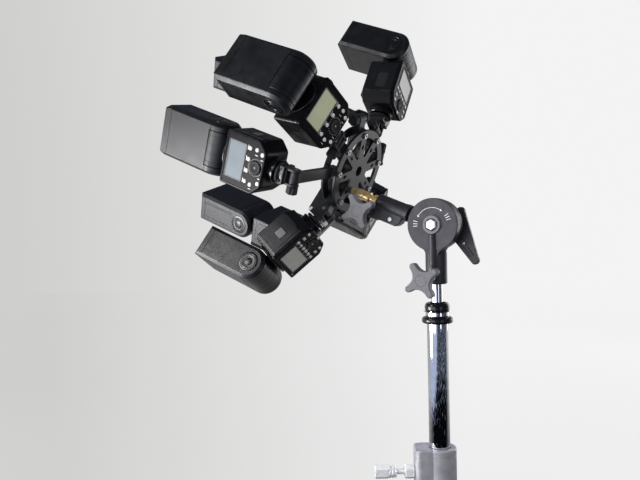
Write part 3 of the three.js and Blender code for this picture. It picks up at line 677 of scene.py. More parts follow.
def roundKeys():
    keys, marks = bmesh.new(), bmesh.new()
    row = (-23, -8, 8, 23)
    for centre in [(y, 47.5) for y in row] + [(-24, 36), (25, 37.5), (-20, 26), (20, 25.5)]:
        keyDome(keys, centre, 2.9, 1.5)
    for y in row:
        printedBar(marks, (y - 3.6, 51.2), (y + 3.0, 52.1))
    for y, z in ((-16.5, 36), (-12.5, 25.5), (13, 25.5), (31.0, 37.5)):
        printedBar(marks, (y - 0.45, z - 2.2), (y + 0.45, z + 2.2))
    return asMesh(keys), asMesh(marks)


def squareKeys():
    keys, marks = bmesh.new(), bmesh.new()
    row = (-26, -15.5, -5, 5, 15.5, 26)
    for y, z in [(y, 48) for y in row] + [(-24, 38), (24, 38), (-24, 29), (24, 29), (0, 21.5)]:
        block(keys, (panelFace - 1.3, y - 3.1, z - 2.1), (panelFace + 0.3, y + 3.1, z + 2.1), 0.7)
    for y in row:
        printedBar(marks, (y - 2, 51.4), (y + 2, 52.1))
    keyDome(marks, (30, 86), 1.3, 0.6)
    return asMesh(keys), asMesh(marks)


def controlDial(petals):
    # a rocking dial with its petalled rim, and the ring of ticks round it
    centre, radius = (0, flash["dialHeight"]), flash["dialRadius"]
    middle = Vector((0, *centre))
    dial, ticks = bmesh.new(), bmesh.new()
    shares = [(0, 1.6), (0.36, 1.6), (0.42, 1.2), (0.5, 1.9), (0.78, 2.3), (0.86, 1.9), (0.9, -0.3),
              (0, -0.3)]
    profile = [(radius * share, panelFace - out) for share, out in shares]
    for v in turned(dial, profile, "x", centre, petals * 6):
        out = Vector((0, v.co.y, v.co.z)) - middle
        if out.length > radius * 0.6:
            wave = 1 + 0.06 * cos(petals * atan2(out.y, out.z))
            v.co.y, v.co.z = middle.y + out.y * wave, middle.z + out.z * wave
    for i in range(flash["ticks"]):
        verts = printedBar(ticks, (-0.22, radius + 0.4), (0.22, radius + 1.7))
        moved(ticks, verts, Matrix.Translation(middle) @ Matrix.Rotation(2 * pi * i / flash["ticks"], 4, "X"))
    keyDome(ticks, centre, 1.1, 2.1)
    return asMesh(dial), asMesh(ticks)


def shoeFoot():
    # the metal foot plate with its hub, and the contact pins under it
    foot, pins = bmesh.new(), bmesh.new()
    verts = block(foot, (-9.3, -9.3, 0.2), (9.3, 9.3, 2.2))
    bevel(foot, [e for e in edgesOf(verts) if abs(e.verts[0].co.z - e.verts[1].co.z) > 1], 0.8)
    turned(foot, [(0, 1.5), (7.5, 1.5), (7.5, 4.0), (9.5, 5.3), (0, 5.3)], steps=32)
    for centre in ((0, 0), (3.5, 3.2), (3.5, -3.2), (6, 3.2), (6, -3.2)):
        turned(pins, [(0, 0.05), (0.7, 0.05), (0.9, 0.3), (0.9, 0.6), (0, 0.6)], "z", centre, 12)
    return asMesh(foot), asMesh(pins)


def lockRing():
    # ribbed locking ring above the foot
    bm = bmesh.new()
    ribs, outer, hollow = 40, 15.6, 0.965
    profile = [(0, 5.3), (13.5, 5.3), (outer, 6.0), (outer, 9.0), (13.5, 9.7), (0, 9.7)]
    for v in turned(bm, profile, steps=ribs * 2):
        if hypot(v.co.x, v.co.y) > outer - 0.6 and round(atan2(v.co.y, v.co.x) / pi * ribs) % 2:
            v.co.x *= hollow
            v.co.y *= hollow
    return asMesh(bm, 20)


def footCollar():
    return lathed([(0, 9.9), (11.5, 9.9), (12.0, 10.6), (17.5, 10.8), (18.6, 11.8), (18.6, 14.2),
                   (17.8, 14.8), (17.8, 15.4), (18.9, 16.0), (18.9, 19.4), (18.2, 20.8), (0, 20.8)], sharp=25)


def sideDoor():
    # battery door on one side, and its latch in a rim
    side = -flash["halfWidth"] + 0.4
    outline = [(-16, 37), (-4, 33), (17, 33), (19, 36), (19, 79), (-16, 79)]
    door = slab(outline, "y", side - 0.55, side + 0.4, 2.5, side - 0.55, 0.4)
    latch = slab(boxOutline((-7, 52), (7, 65)), "y", side - 1.1, side, 1.6, side - 1.1, 0.5)
    rim = slab(boxOutline((-8.8, 50.2), (8.8, 66.8)), "y", side - 0.75, side, 2.4, side - 0.75, 0.3, (3, 1))
    return asMesh(door), asMesh(latch), asMesh(rim)


def chamferHighlight():
    # painted highlight: two pale strips along one upper chamfer, where it catches the light
    bm = bmesh.new()
    half = flash["topChamfer"] / 2
    middle = Matrix.Translation((0, half - flash["halfWidth"], flash["top"] - half))
    for low, high in ((-19, 1), (2, 24)):
        verts = block(bm, (low, -0.5, -3.4), (high, 0.2, 3.4), 0.25)
        moved(bm, verts, middle @ Matrix.Rotation(radians(-45), 4, "X"))
    return asMesh(bm)


def socketFlap():
    # rubber flap over the sockets on the other side
    side = flash["halfWidth"] + 0.1
    return asMesh(slab(boxOutline((-9, 40), (7, 66)), "y", side - 0.8, side, 3.2, side, 0.4, (4, 2)))


def frontWindow():
    front = flash["halfDepth"] - 0.25
    return asMesh(slab(boxOutline((-25.4, 30.6), (25.4, 59.4)), "x", front - 0.95, front, 1.2, front, 0.3))


def neckParts():
    # swivel disc on top of the body, and the ribbed barrel that the head tilts about
    disc = bmesh.new()
    turned(disc, [(0, 91.4), (25.0, 91.4), (25.4, 91.9), (25.4, 93.2), (24.6, 94.3), (0, 94.3)], steps=64)
    block(disc, (-2.8, -12.5, 93.5), (2.8, 12.5, 100))
    radius, half, rounding, slot = 24.7, 25.6, 0.8, 0.3
    profile = [(0, -half), (radius - rounding, -half), (radius, -half + rounding)]
    for at in (-18.6, -6.4, 6.4, 18.6):
        profile += [(radius - deep, at + shift) for deep, shift in ((0, -slot), (0.5, -slot), (0.5, slot),
                                                                    (0, slot))]
    profile += [(radius, half - rounding), (radius - rounding, half), (0, half)]
    return asMesh(disc), lathed(profile, "y", (0, layout["headAxis"]), 72, 25)


head = {
    "half": 24.8, "halfWidth": 37.3, "length": 91.6, "chamfer": 4.6, "seam": 2.4, "bezel": 79,
    "line": 0.6, "lineDeep": 0.7, "lensInset": 4.5,
}


def headShell():
    # rounded at the hinge end and chamfered all along both sides
    half, wide, length, bezel, seam = (head[key] for key in ("half", "halfWidth", "length", "bezel", "seam"))
    bm = bmesh.new()
    prism(bm, arcPoints((0, 0), half, 90, 270, 29) + [(length, -half), (length, half)], "y", -wide, wide)
    bevel(bm, edgesAt(bm, "y", wide) + edgesAt(bm, "y", -wide), head["chamfer"], 1)
    outer = [e for e in bm.edges if all(abs(abs(v.co.y) - wide) < 6 for v in e.verts)]
    bevel(bm, [e for e in outer if radians(20) < e.calc_face_angle(0) < radians(70)], 0.7)
    hollow = lathed(rodProfile(25.3, -26.1, 26.1), "y", (0, 0), 64)
    mesh = carved(asMesh(bm), hollow)
    cutter = bmesh.new()
    for z in (-half, half):
        # the line where the flat top meets the rounded hinge end
        low, high = sorted((z * 0.97, z * 1.2))
        block(cutter, (seam, -beyond, low), (seam + 0.7, beyond, high))
    for side in (-1, 1):
        # two long lines along each side and the line round the hinge end
        low, high = sorted((side * (wide - head["lineDeep"]), side * wide * 1.2))
        for start, at, width in ((16, -13.8, 0.6), (16, -11.0, 0.6), (seam, 12.5, 0.5)):
            block(cutter, (start, low, at), (bezel, high, at + width))
    # the front bezel is a separate moulding
    block(cutter, (bezel, -beyond, -beyond), (bezel + head["line"], beyond, beyond))
    core = bmesh.new()
    block(core, (bezel - 1, 0.9 - wide, 0.9 - half), (bezel + 1.6, wide - 0.9, half - 0.9))
    mesh = carved(mesh, carved(asMesh(cutter), asMesh(core)))
    cutter = bmesh.new()
    inset = head["lensInset"]
    block(cutter, (length - 3.2, inset - wide, inset - half), (length + 9, wide - inset, half - inset), 2.0)
    return carved(mesh, asMesh(cutter), 28)


def headLens():
    # ribbed window at the front of the head
    inset = head["lensInset"] + 0.3
    wide, half, front = head["halfWidth"] - inset, head["half"] - inset, head["length"] - 1.2
    ribs = 26
    step = 2 * half / ribs
    outline = [(front - 1.6, -half)]
    for i in range(ribs):
        z = -half + i * step
        outline += [(front, z), (front - 0.45, z + step / 2)]
    bm = bmesh.new()
    prism(bm, outline + [(front, half), (front - 1.6, half)], "y", -wide, wide)
    return asMesh(bm, 15)


def hingeCap(side):
    # turned-looking cap with rings at each end of the tilt axis
    heights = [(0, 0.9), (4.6, 0.9), (5.8, 0.55), (6.2, 0.1), (7.2, 0.1), (7.8, 0.7), (10.2, 0.8),
               (10.8, 0.35), (11.6, 0.35), (12.2, 0.65), (14.2, 0.6), (15.0, 0.3), (15.3, -0.4), (0, -0.4)]
    return lathed([(radius, side * (head["halfWidth"] + out)) for radius, out in heights], "y", sharp=25)


rearCover, rearPanel = rearShell()
displayRim, displayField = displayParts()
foot, pins = shoeFoot()
door, latch, latchRim = sideDoor()
neckDisc, barrel = neckParts()
ring, collar, flap, window, highlightStrips = lockRing(), footCollar(), socketFlap(), frontWindow(), chamferHighlight()
headCover, headWindow, rightCap, leftCap = headShell(), headLens(), hingeCap(-1), hingeCap(1)
styles = {
    # casing, keys, marks, dial and ticks
    "round": (bodyShell(0), *roundKeys(), *controlDial(12)),
    "square": (bodyShell(flash["topChamfer"]), *squareKeys(), *controlDial(20)),
}
print("flash unit shapes made")

displays = {
    # station number: edge and field colours of its display, and the style of its unit
    1: ("aaaea9", "b4b7b2", "round"), 2: ("d2d8b2", "dce2bc", "round"), 3: ("6c777d", "747f85", "round"),
    4: ("d0d0c6", "dadad0", "square"), 5: ("aaaea9", "b4b7b2", "round"), 6: ("aaaea9", "b4b7b2", "square"),
    8: ("dadad6", "e2e2de", "square"),
}


def dressFlash(i):
    number = i + 1
    name = f"flash_{number}"
    edge, field, style = displays[number]
    glass = displayWindow(f"display window {number}", (edge, field))
    casing, keys, marks, dial, ticks = styles[style]
    onBody = [
        ("casing", casing, satinAbs, f"{name}_body"), ("rear_shell", rearCover, rearGloss),
        ("panel", rearPanel, panelBlack), ("display_rim", displayRim, greyKey),
        ("display", displayField, glass),
        ("keys", keys, white), ("marks", marks, white), ("dial", dial, rubber), ("ticks", ticks, white),
        ("foot", foot, zinc), ("pins", pins, brass), ("lock_ring", ring, rubber), ("collar", collar, gloss),
        ("door", door, satinAbs), ("latch", latch, greyKey), ("latch_rim", latchRim, gloss),
    ]
    # pale strips painted on the chamfer as its highlight
    if style == "square":
        onBody.append(("chamfer_highlight", highlightStrips, paintedHighlightGrey))
    onBody += [("flap", flap, rubber), ("window", window, gloss)]
    onNeck = [("neck_disc", neckDisc, satinAbs, f"{name}_neck"), ("barrel", barrel, satinAbs)]
    onHead = [("head_shell", headCover, satinAbs, f"{name}_head"), ("lens", headWindow, lens),
              ("cap_right", rightCap, gloss), ("cap_left", leftCap, gloss)]
    for body, place, pieces in ((f"knuckle_{number}", unitFrame(i), onBody),
                                (f"{name}_neck", unitFrame(i), onNeck),
                                (f"{name}_head", headFrame(i), onHead)):
        settle(body, place, "flash_black", *[(f"{name}_{piece}", *rest) for piece, *rest in pieces])


for i, station in enumerate(stations):
    if station[5]:
        dressFlash(i)
print("flash units placed")

# Stand top

stand = {
    "ring": 23.5, "bore": 15.4, "castingTop": 70, "lugReach": 36.5, "lugHalf": 20, "lugCorner": 8,
    "screwHeight": 35, "pitch": 1.75, "column": 15, "columnLow": 10, "columnTop": 252, "collarLow": 248,
    "stud": 8, "studLow": 232, "studTop": 338,
}


def castingOutline(grow):
    # the ring round the column, running out into the clamp lug
    ring, half = stand["ring"] + grow, stand["lugHalf"] + grow
    corner = stand["lugCorner"]
    turn = 180 - degrees(asin(half / ring))
    near, low = stand["lugReach"] + grow - corner, half - corner
    return (arcPoints((0, 0), ring, -turn, turn, 61) + arcPoints((-near, low), corner, 90, 180, 9)
            + arcPoints((-near, -low), corner, 180, 270, 9))


def standCasting():
    top, bore = stand["castingTop"], stand["bore"]
    bm = bmesh.new()
    stacked(bm, castingOutline, "z", [
        (0, -1.4), (0.5, -0.5), (1.4, 0), (top - 11.5, 0), (top - 11.2, -0.5), (top - 10.4, -0.5),
        (top - 10.1, 0), (top - 1.8, 0), (top - 0.6, -0.6), (top, -1.8)])
    hollow = lathed([(0, -5), (bore + 1, -5), (bore + 1, 0), (bore, 1), (bore, top - 1.2), (bore + 1.2, top),
                     (bore + 1.2, top + 5), (0, top + 5)], steps=64)
    return carved(asMesh(bm), hollow, 25)


def clampScrew():
    # hex head, grooved flange, threaded rod and lock nut
    height, pitch = stand["screwHeight"], stand["pitch"]
    bm = bmesh.new()
    for radius, levels in ((10.4, [(-94, -1.6), (-93, -0.3), (-92.2, 0), (-75.5, 0), (-74, -1.2)]),
                           (10.9, [(-50.8, -1.6), (-49.6, 0), (-38.3, 0), (-37, -1.6)])):
        moved(bm, stacked(bm, hexOutline(radius), "x", levels), Matrix.Translation((0, 0, height)))
    turned(bm, [(0, -74.4), (8.2, -74.4), (9, -73.6), (9, -71.4), (8, -70.6), (8, -69.8), (8.8, -69),
                (8.8, -66.8), (7.8, -66), (7.8, -65.2), (8.6, -64.4), (8.6, -63.6), (7.8, -63), (0, -63)],
           "x", (0, height), 40)
    thread = [(0, -63.5), (4.4, -63.5)]
    for i in range(int(47 / pitch)):
        at = -63.2 + i * pitch
        thread += [(4.45, at), (3.85, at + pitch / 2)]
    turned(bm, thread + [(4.2, -15.8), (0, -15.8)], "x", (0, height), 24)
    return asMesh(bm, 25)


def standTubes():
    low, top, radius = stand["columnLow"], stand["columnTop"], stand["column"]
    tube = lathed([(0, low), (radius - 0.6, low), (radius, low + 0.6), (radius, top - 0.6),
                   (radius - 0.6, top), (0, top)], steps=96)
    low, top, radius = stand["studLow"], stand["studTop"], stand["stud"]
    stud = lathed([(0, low), (radius, low), (radius, top - 1), (radius - 1, top), (0, top)], steps=64)
    return tube, stud


def collarParts():
    # rubber-lipped ring, bright band with a thin flange, black cap that funnels to the stud
    lip = [(15.3, 0), (19.6, 0.1), (21.2, 1), (21.9, 2.8), (21.9, 5.6), (21.1, 7.6), (19.4, 8.8), (17.4, 9.2),
           (16.6, 10.9), (15.3, 10.9), (15.3, 0)]
    band = [(15.2, 9), (16.4, 9.4), (16.4, 15.6), (17.2, 16.2), (19.4, 16.5), (19.7, 17.2), (19.4, 17.9),
            (17, 18.2), (15.2, 18.2), (15.2, 9)]
    cap = [(8.35, 10), (14.9, 10), (14.9, 18.4), (16.7, 18.6), (17.4, 19.6), (17.6, 23.4), (17, 26.2),
           (15.4, 28.6), (14.2, 29), (12.8, 28.7), (10.2, 25.4), (8.35, 24.8), (8.35, 10)]
    return [lathed([(radius, stand["collarLow"] + height) for radius, height in profile], steps=72, sharp=25)
            for profile in (lip, band, cap)]


def dressStand():
    tube, stud = standTubes()
    lip, band, cap = collarParts()
    settle("stand", Matrix(), "bare_aluminium", ("casting_block", standCasting(), aluminium, "stand_casting"))
    settle("clamp_screw", Matrix(), "chrome", ("clamp_screw_turned", clampScrew(), zinc, "casting_screw"))
    settle("column", Matrix(), "chrome", ("column_tube", tube, chrome, "stand_column"),
           ("column_stud", stud, chrome, "stand_stud"))
    settle("column", Matrix(), "collar_black", ("collar_foot", lip, gloss, "column_collar"),
           ("collar_band", band, chrome), ("collar_cap", cap, gloss))


dressStand()
print("stand placed")

# Tilt head, round the pivot: Y towards the near side, Z up

tilter = {
    "low": -84, "shoulder": -39, "tube": 15.2, "disc": 37.5, "face": 14, "armDisc": 36, "armFar": -13,
    "hole": (66, -17),  # along the arm and up
    "knobHigh": 27, "knobTip": 4.5, "knobWaist": 13, "knobThick": 13, "knobStandoff": 9,
    "lever": 78, "leverAngle": 226,
}


def aroundPivot(radius, turn):
    return (radius * cos(radians(turn)), radius * sin(radians(turn)))


def halfTube(grow):
    radius = tilter["tube"] + grow
    return [(radius, 1.2)] + arcPoints((0, 0), radius, 6, 174, 29) + [(-radius, 1.2)]


def flowOutline(half):
    # the stem, this wide on each side, flows into the disc with a hollow on each side
    disc, hollow = tilter["disc"], 14
    across = half + hollow
    height = -((disc + hollow) ** 2 - across ** 2) ** 0.5
    turn = degrees(atan2(-height, across))
    right = arcPoints((across, height), hollow, 180, 180 - turn, 13)
    left = [(-x, z) for x, z in reversed(right)]
    low = tilter["shoulder"] - 14
    return [(half, low)] + right + [(0, -10)] + left + [(-half, low)]


def swivelCasting():
    low, shoulder, tube = tilter["low"], tilter["shoulder"], tilter["tube"]
    bm = bmesh.new()
    turned(bm, [(8.35, low), (13.8, low), (15, low + 1), (tube, low + 2.4), (tube, shoulder - 0.6),
                (tube - 0.6, shoulder), (0, shoulder)], steps=72)
    turned(bm, [(8.35, low), (8.35, low + 12), (0, low + 12)], steps=72)
    stacked(bm, halfTube, "z", [(shoulder - 1.5, 0), (shoulder + 7, -0.5), (shoulder + 14, -1.4),
                                (shoulder + 20, -2.6)])
    levels = (1.3, 4.0, 6.5, 8.8, 10.8, 12.4, 13.6)
    stacked(bm, flowOutline, "y", [(y, (tube ** 2 - y ** 2) ** 0.5 - 0.25) for y in levels])
    rib = 5.4
    turned(bm, [(0, shoulder - 21), (rib - 1, shoulder - 21), (rib, shoulder - 20), (rib, -14),
                (rib - 0.8, -12.8), (0, -12.4)], "z", (0, 12.6), 40)
    return asMesh(bm, 30)


def swivelDisc():
    # the disc, its flat face and the boss round the bolt
    edge, face = tilter["disc"], tilter["face"]
    disc = lathed([(0, 1.1), (edge - 1, 1.1), (edge, 2), (edge, face - 1.2), (edge - 0.3, face - 0.5),
                   (edge - 0.8, face - 0.3), (0, face - 0.3)], "y", steps=96, sharp=25)
    plate = lathed([(0, face - 0.5), (edge - 0.6, face - 0.5), (edge - 0.7, face - 0.2), (edge - 1.1, face),
                    (0, face)], "y", steps=96, sharp=25)
    boss = lathed([(8.7, face - 0.2), (13, face - 0.2), (13, face + 2.2), (12.4, face + 3), (9.6, face + 3.2),
                   (8.8, face + 2.7), (8.7, face - 0.2)], "y", steps=64, sharp=25)
    return disc, plate, boss


def discMarks():
    # plain arc with an arrow tip at each end, and ticks beyond the tips
    low, high = tilter["face"] - 0.2, tilter["face"] + 0.12
    first, last = 34, 122
    bm = bmesh.new()
    arc = arcPoints((0, 0), 24.4, first, last, 40) + arcPoints((0, 0), 23.7, last, first, 40)
    prism(bm, arc, "y", low, high)
    for turn, tip in ((first, first - 7), (last, last + 7)):
        arrow = [aroundPivot(24.05, tip), aroundPivot(22.2, turn), aroundPivot(25.9, turn)]
        prism(bm, arrow, "y", low, high)
    for turn in (148, 156, 164, -4, 4, 12):
        prism(bm, barOutline(aroundPivot(22, turn), aroundPivot(28.5, turn), 0.45), "y", low, high)
    return asMesh(bm)


def boltParts():
    # the bolt, and a dark disc under its head, painted shade for the pit it stands in
    face = tilter["face"]
    bm = bmesh.new()
    stacked(bm, hexOutline(7.7), "y", [(face + 0.3, 0), (face + 4.6, 0), (face + 5.6, -0.8),
                                       (face + 5.8, -1.6)])
    turned(bm, [(0, face + 5.7), (5.4, face + 5.7), (4.4, face + 6.1), (0, face + 6.2)], "y", steps=40)
    turned(bm, [(0, -24), (4.2, -24), (4.95, -23.2), (4.95, face + 0.4), (0, face + 0.4)], "y", steps=32)
    return asMesh(bm, 25), lathed(rodProfile(8.75, face - 0.1, face + 0.35), "y", sharp=25)


def starOutline(firstTurn):
    # round lobe tips with hollow arcs between them
    tip, waist = tilter["knobTip"], tilter["knobWaist"]

    def lobe(turn, grow):
        return arcPoints(aroundPivot(tilter["knobHigh"] - tip, turn), tip + grow, turn - 90, turn + 90, 11)

    def outline(grow):
        points = []
        for turn in (firstTurn + 90 * i for i in range(4)):
            points += lobe(turn, grow)
            start, end = Vector(points[-1]), Vector(lobe(turn + 90, grow)[0])
            middle = Vector(aroundPivot(1, turn + 45))
            bend = middle * (2 * (waist + grow) - middle.dot(start + end) / 2)
            for t in (k / 12 for k in range(1, 12)):
                points.append(tuple((1 - t) ** 2 * start + 2 * t * (1 - t) * bend + t ** 2 * end))
        return [(x, z) for z, x in points]
    return outline


def starKnob(seat, tip, turn, centre):
    # moulded star with a thin raised ring on its face, ribbed hub and a steel stem
    face = seat + tilter["knobStandoff"]
    far = face + tilter["knobThick"]
    star, hub = bmesh.new(), bmesh.new()
    stacked(star, starOutline(turn), "y", [(face, -1.6), (face + 0.5, -0.6), (face + 1.5, 0), (far - 1.3, 0),
                                           (far - 0.4, -0.5), (far, -1.3)])
    bmesh.ops.inset_region(star, faces=facesAt(star, "y", far), thickness=0.5, depth=0)
    moved(star, star.verts, Matrix.Translation((centre[0], 0, centre[1])))
    turned(star, [(7.6, far - 0.4), (7.6, far + 0.02), (8.0, far + 0.25), (8.4, far + 0.02), (8.4, far - 0.4),
                  (7.6, far - 0.4)], "y", centre)
    profile = [(0, seat), (8.2, seat), (9, seat + 0.8), (9, face + 0.5), (0, face + 0.5)]
    for v in turned(hub, profile, "y", centre, 48):
        out = Vector((v.co.x - centre[0], v.co.z - centre[1]))
        if out.length > 8.5 and round(atan2(out.y, out.x) / (2 * pi) * 48) % 3 == 0:
            v.co.x, v.co.z = centre[0] + out.x * 0.92, centre[1] + out.y * 0.92
    stem = lathed([(0, tip), (3.2, tip), (3.95, tip + 0.8), (3.95, seat + 0.5), (0, seat + 0.5)], "y", centre,
                  32)
    return asMesh(star), asMesh(hub, 25), stem


def leverOutline(grow):
    # drawn along its length and across it, then turned to its rest angle
    far, tip, heel = tilter["lever"], 6, 6.3
    points = [(0, 0), (39, 3)] + arcPoints((far - tip, 0), tip, 90, -90, 11)
    points += arcPoints((8, -34), heel, -45, -200, 9)
    middle = (34, -10)
    scaled = [(middle[0] + (x - middle[0]) * (1 + grow / 30), middle[1] + (z - middle[1]) * (1 + grow / 18))
              for x, z in points]
    turn = radians(tilter["leverAngle"])
    return [(x * cos(turn) - z * sin(turn), x * sin(turn) + z * cos(turn)) for x, z in scaled]


def lockLever():
    # the blade with its hub, two ribs on it and a pin
    bm, ribs = bmesh.new(), bmesh.new()
    stacked(bm, leverOutline, "y", [(-25, -1), (-24.6, -0.4), (-24, 0), (-19.5, 0), (-18.9, -0.4),
                                    (-18.5, -1)])
    turned(bm, [(5.3, -25), (11.2, -25), (12, -24.2), (12, -14.8), (11.2, -14), (5.3, -14), (5.3, -25)], "y",
           steps=56)
    blade = carved(asMesh(bm, 30), lathed(rodProfile(5.28, -30, -10), "y"), 30)
    for start, end in (((34, -10.5), (66, -3)), ((36, -3), (64, 1.6))):
        prism(ribs, barOutline(start, end, 0.7), "y", -18.7, -17.6)
    bevel(ribs, ribs.edges[:], 0.3, 1)
    turn = Matrix.Rotation(-radians(tilter["leverAngle"]), 4, "Y")
    moved(ribs, ribs.verts, turn)
    pin = lathed([(0, -18.8), (2.2, -18.8), (2.2, -17.6), (1.6, -17.1), (0, -17)], "y", (44, -6), 24)
    pin.transform(turn)
    return blade, asMesh(ribs), pin


def tiltArm():
    # disc, neck, tube, boss and lug
    disc, far = tilter["armDisc"], tilter["armFar"]
    bm = bmesh.new()
    turned(bm, [(0, -0.6), (disc - 1, -0.6), (disc, -1.6), (disc, far + 1.4), (disc - 1.4, far), (0, far)],
           "y", steps=96)
    block(bm, (20, far, -11.6), (53, -0.8, 11.6), 2.4, 3)
    turned(bm, [(0, 42), (11.6, 42), (12.4, 42.8), (12.4, 50.5), (11.9, 51.2), (11.9, 91.6), (12.5, 92.3),
                (12.5, 94.2), (11.8, 95), (8.3, 95), (8.3, 84), (0, 84)], "x", steps=72)
    prism(bm, [(48, 0), (95, 0), (94, -24), (54, -24), (48.5, -17)], "y", -8.9, 8.9, 1.8, 3)
    prism(bm, [(84, -11), (111, -11), (114, -14), (114, -23), (111, -26), (84, -26)], "y", -7.9, 7.9, 1.2)
    return asMesh(bm, 30)


def umbrellaHole():
    # a raised rim, a dark disc as painted shade inside the hole, and the screw in it
    place = tilter["hole"]
    rim = lathed([(4.3, 9.0), (6.3, 9.0), (6.6, 8.6), (6.6, 7.5), (4.3, 7.5), (4.3, 9.0)], "y", place, 40)
    shade = lathed([(0, 8.95), (4.5, 8.95), (4.5, 8), (0, 8)], "y", place, 40)
    screw = lathed([(0, 9.4), (2.2, 9.3), (3.3, 8.9), (3.5, 8.4), (3.5, 7.8), (0, 7.8)], "y", place, 32)
    return rim, shade, screw


def brassSpigot():
    # barrel with rounded shoulders, narrow waist, flared collar and the tip that goes through the plates
    barrel, tip = 7.9, 4.8
    profile = [(0, 54), (barrel, 54), (barrel, 98.5), (7.6, 99.4), (barrel, 100.2), (barrel, 102.2),
               (7.2, 103.2), (5.2, 105.2), (5.2, 109), (6.4, 110.2), (barrel, 111), (barrel, 112.4),
               (7.2, 113.2), (7.2, 114.4)]
    for turn in range(52, 158, 7):
        share = radians(turn)
        profile.append((barrel * sin(share) ** 0.5, 115 + 22.6 * (1 - cos(share)) / 2))
    profile += [(tip, 139), (tip, 157.6), (tip - 0.6, 158), (0, 158)]
    return lathed(profile, "x", steps=72, sharp=30)


def dressTiltHead():
    disc, plate, boss = swivelDisc()
    bolt, pitShade = boltParts()
    blade, ribs, pin = lockLever()
    rim, shade, screw = umbrellaHole()
    # the face plate and the boss are lighter greys than the casting: painted light
    settle("swivel", swivelFrame, "cast_black", ("swivel_casting", swivelCasting(), casting, "swivel_body"),
           ("swivel_disc", disc, casting), ("disc_face", plate, litFaceGrey), ("bolt_boss", boss, litBossGrey),
           ("disc_marks", discMarks(), white))
    settle("swivel", swivelFrame, "chrome", ("pivot_bolt", bolt, zinc, "tilt_bolt"))
    # a dark disc round the bolt head: painted shade of its pit
    settle("swivel", swivelFrame, "cast_black", ("bolt_pit_shade", pitShade, rubber))
    settle("lock_lever", swivelFrame, "cast_black", ("lever_blade", blade, casting, "lock_lever"),
           ("lever_ribs", ribs, casting))
    settle("lock_lever", swivelFrame, "chrome", ("lever_pin", pin, steel))
    # the dark disc in the umbrella hole is painted shade
    settle("tilt", tiltFrame, "cast_black", ("arm_casting", tiltArm(), casting, "tilt_arm"),
           ("umbrella_hole_rim", rim, casting), ("umbrella_hole_shade", shade, rubber))
    settle("tilt", tiltFrame, "chrome", ("umbrella_hole_screw", screw, zinc))
    for name, body, place, *shape in (("stud_star", "stud_knob", swivelFrame, 37, 8.3, 32, (0, -75)),
                                      ("spigot_star", "spigot_knob", tiltFrame, 20, -5, 43, (105, -18.5))):
        star, hub, stem = starKnob(*shape)
        settle(body, place, "knob_grey", (name, star, nylon, body), (f"{name}_hub", hub, rubber),
               (f"{name}_stem", stem, zinc))
    settle("wheel", tiltFrame, "brass", ("spigot_turned", brassSpigot(), brass, "brass_spigot"))


dressTiltHead()
print("tilt head placed")

# Bracket wheel

wheel = {
    "radius": 64, "windowInner": 22, "windowOuter": 52, "spokeHalf": 6.5, "boltRing": 56,
    "gemRing": 38, "gemLong": 5, "gemTurn": 0.09,  # the small holes on the spokes; radians for the last
    "pad": 13, "eye": 8, "core": 21,
}


def wheelPoint(radius, turn):
    return (radius * sin(turn), radius * cos(turn))


def windowOutline(middle):
    # a window between two spokes, its corners rounded
    inner, outer = wheel["windowInner"], wheel["windowOuter"]

    def edge(radius, side):
        half = pi / 8 - asin(wheel["spokeHalf"] / radius)
        return wheelPoint(radius, middle + side * half)
    arc = [wheelPoint(outer, middle + radians(turn)) for turn in (-13, -9, -4.5, 0, 4.5, 9, 13)]
    return ([edge(outer - 3.2, -1), edge(outer - 1, -1)] + arc
            + [edge(outer - 1, 1), edge(outer - 3.2, 1), edge(inner + 1.5, 1), edge(inner + 0.3, 0.4),
               edge(inner + 0.3, -0.4), edge(inner + 1.5, -1)])


def gemOutline(spoke):
    # a pointed hole on a spoke
    ring, long, turn = wheel["gemRing"], wheel["gemLong"], wheel["gemTurn"]
    return [wheelPoint(ring + long, spoke), wheelPoint(ring, spoke + turn), wheelPoint(ring - long, spoke),
            wheelPoint(ring, spoke - turn)]


def wheelPlate(start):
    end = start + layout["plateThick"]
    bm, cutter = bmesh.new(), bmesh.new()
    stacked(bm, lambda grow: ringOf(120, wheel["radius"] + grow), "x",
            [(start, -0.7), (start + 0.7, 0), (end - 0.7, 0), (end, -0.7)])
    for i in range(8):
        spoke = radians(layout["firstStation"]) + pi / 4 * i
        for outline in (windowOutline(spoke + pi / 8), gemOutline(spoke)):
            prism(cutter, outline, "x", start - 2, end + 2)
    turned(cutter, rodProfile(wheel["eye"], start - 2, end + 2), "x")
    mesh = carved(asMesh(bm, 25), asMesh(cutter), 25)
    # the pad round the spigot's hole
    pad = wheel["pad"]
    bm = bmesh.new()
    bm.from_mesh(mesh)
    turned(bm, [(0, start + 0.05), (pad - 0.5, start + 0.05), (pad, start + 0.5), (pad, end - 0.5),
                (pad - 0.5, end - 0.05), (0, end - 0.05)], "x", (0, -layout["wheelRise"]))
    return asMesh(bm, 25)


def wheelCore():
    # grooved core between the plates, and the web from it to the spigot
    start = layout["wheelRear"] + layout["plateThick"]
    end = start + layout["wheelGap"]
    core, bore, spigot = wheel["core"], wheel["eye"] + 0.2, -layout["wheelRise"]
    bm = bmesh.new()
    turned(bm, [(bore, start), (core, start), (core, start + 3), (core - 1.4, start + 3.8),
                (core - 1.4, end - 3.8), (core, end - 3), (core, end), (bore, end), (bore, start)], "x",
           steps=64)
    turned(bm, rodProfile(12, start, end), "x", (0, spigot))
    block(bm, (start, -6, spigot), (end, 6, -12))
    return asMesh(bm, 25)


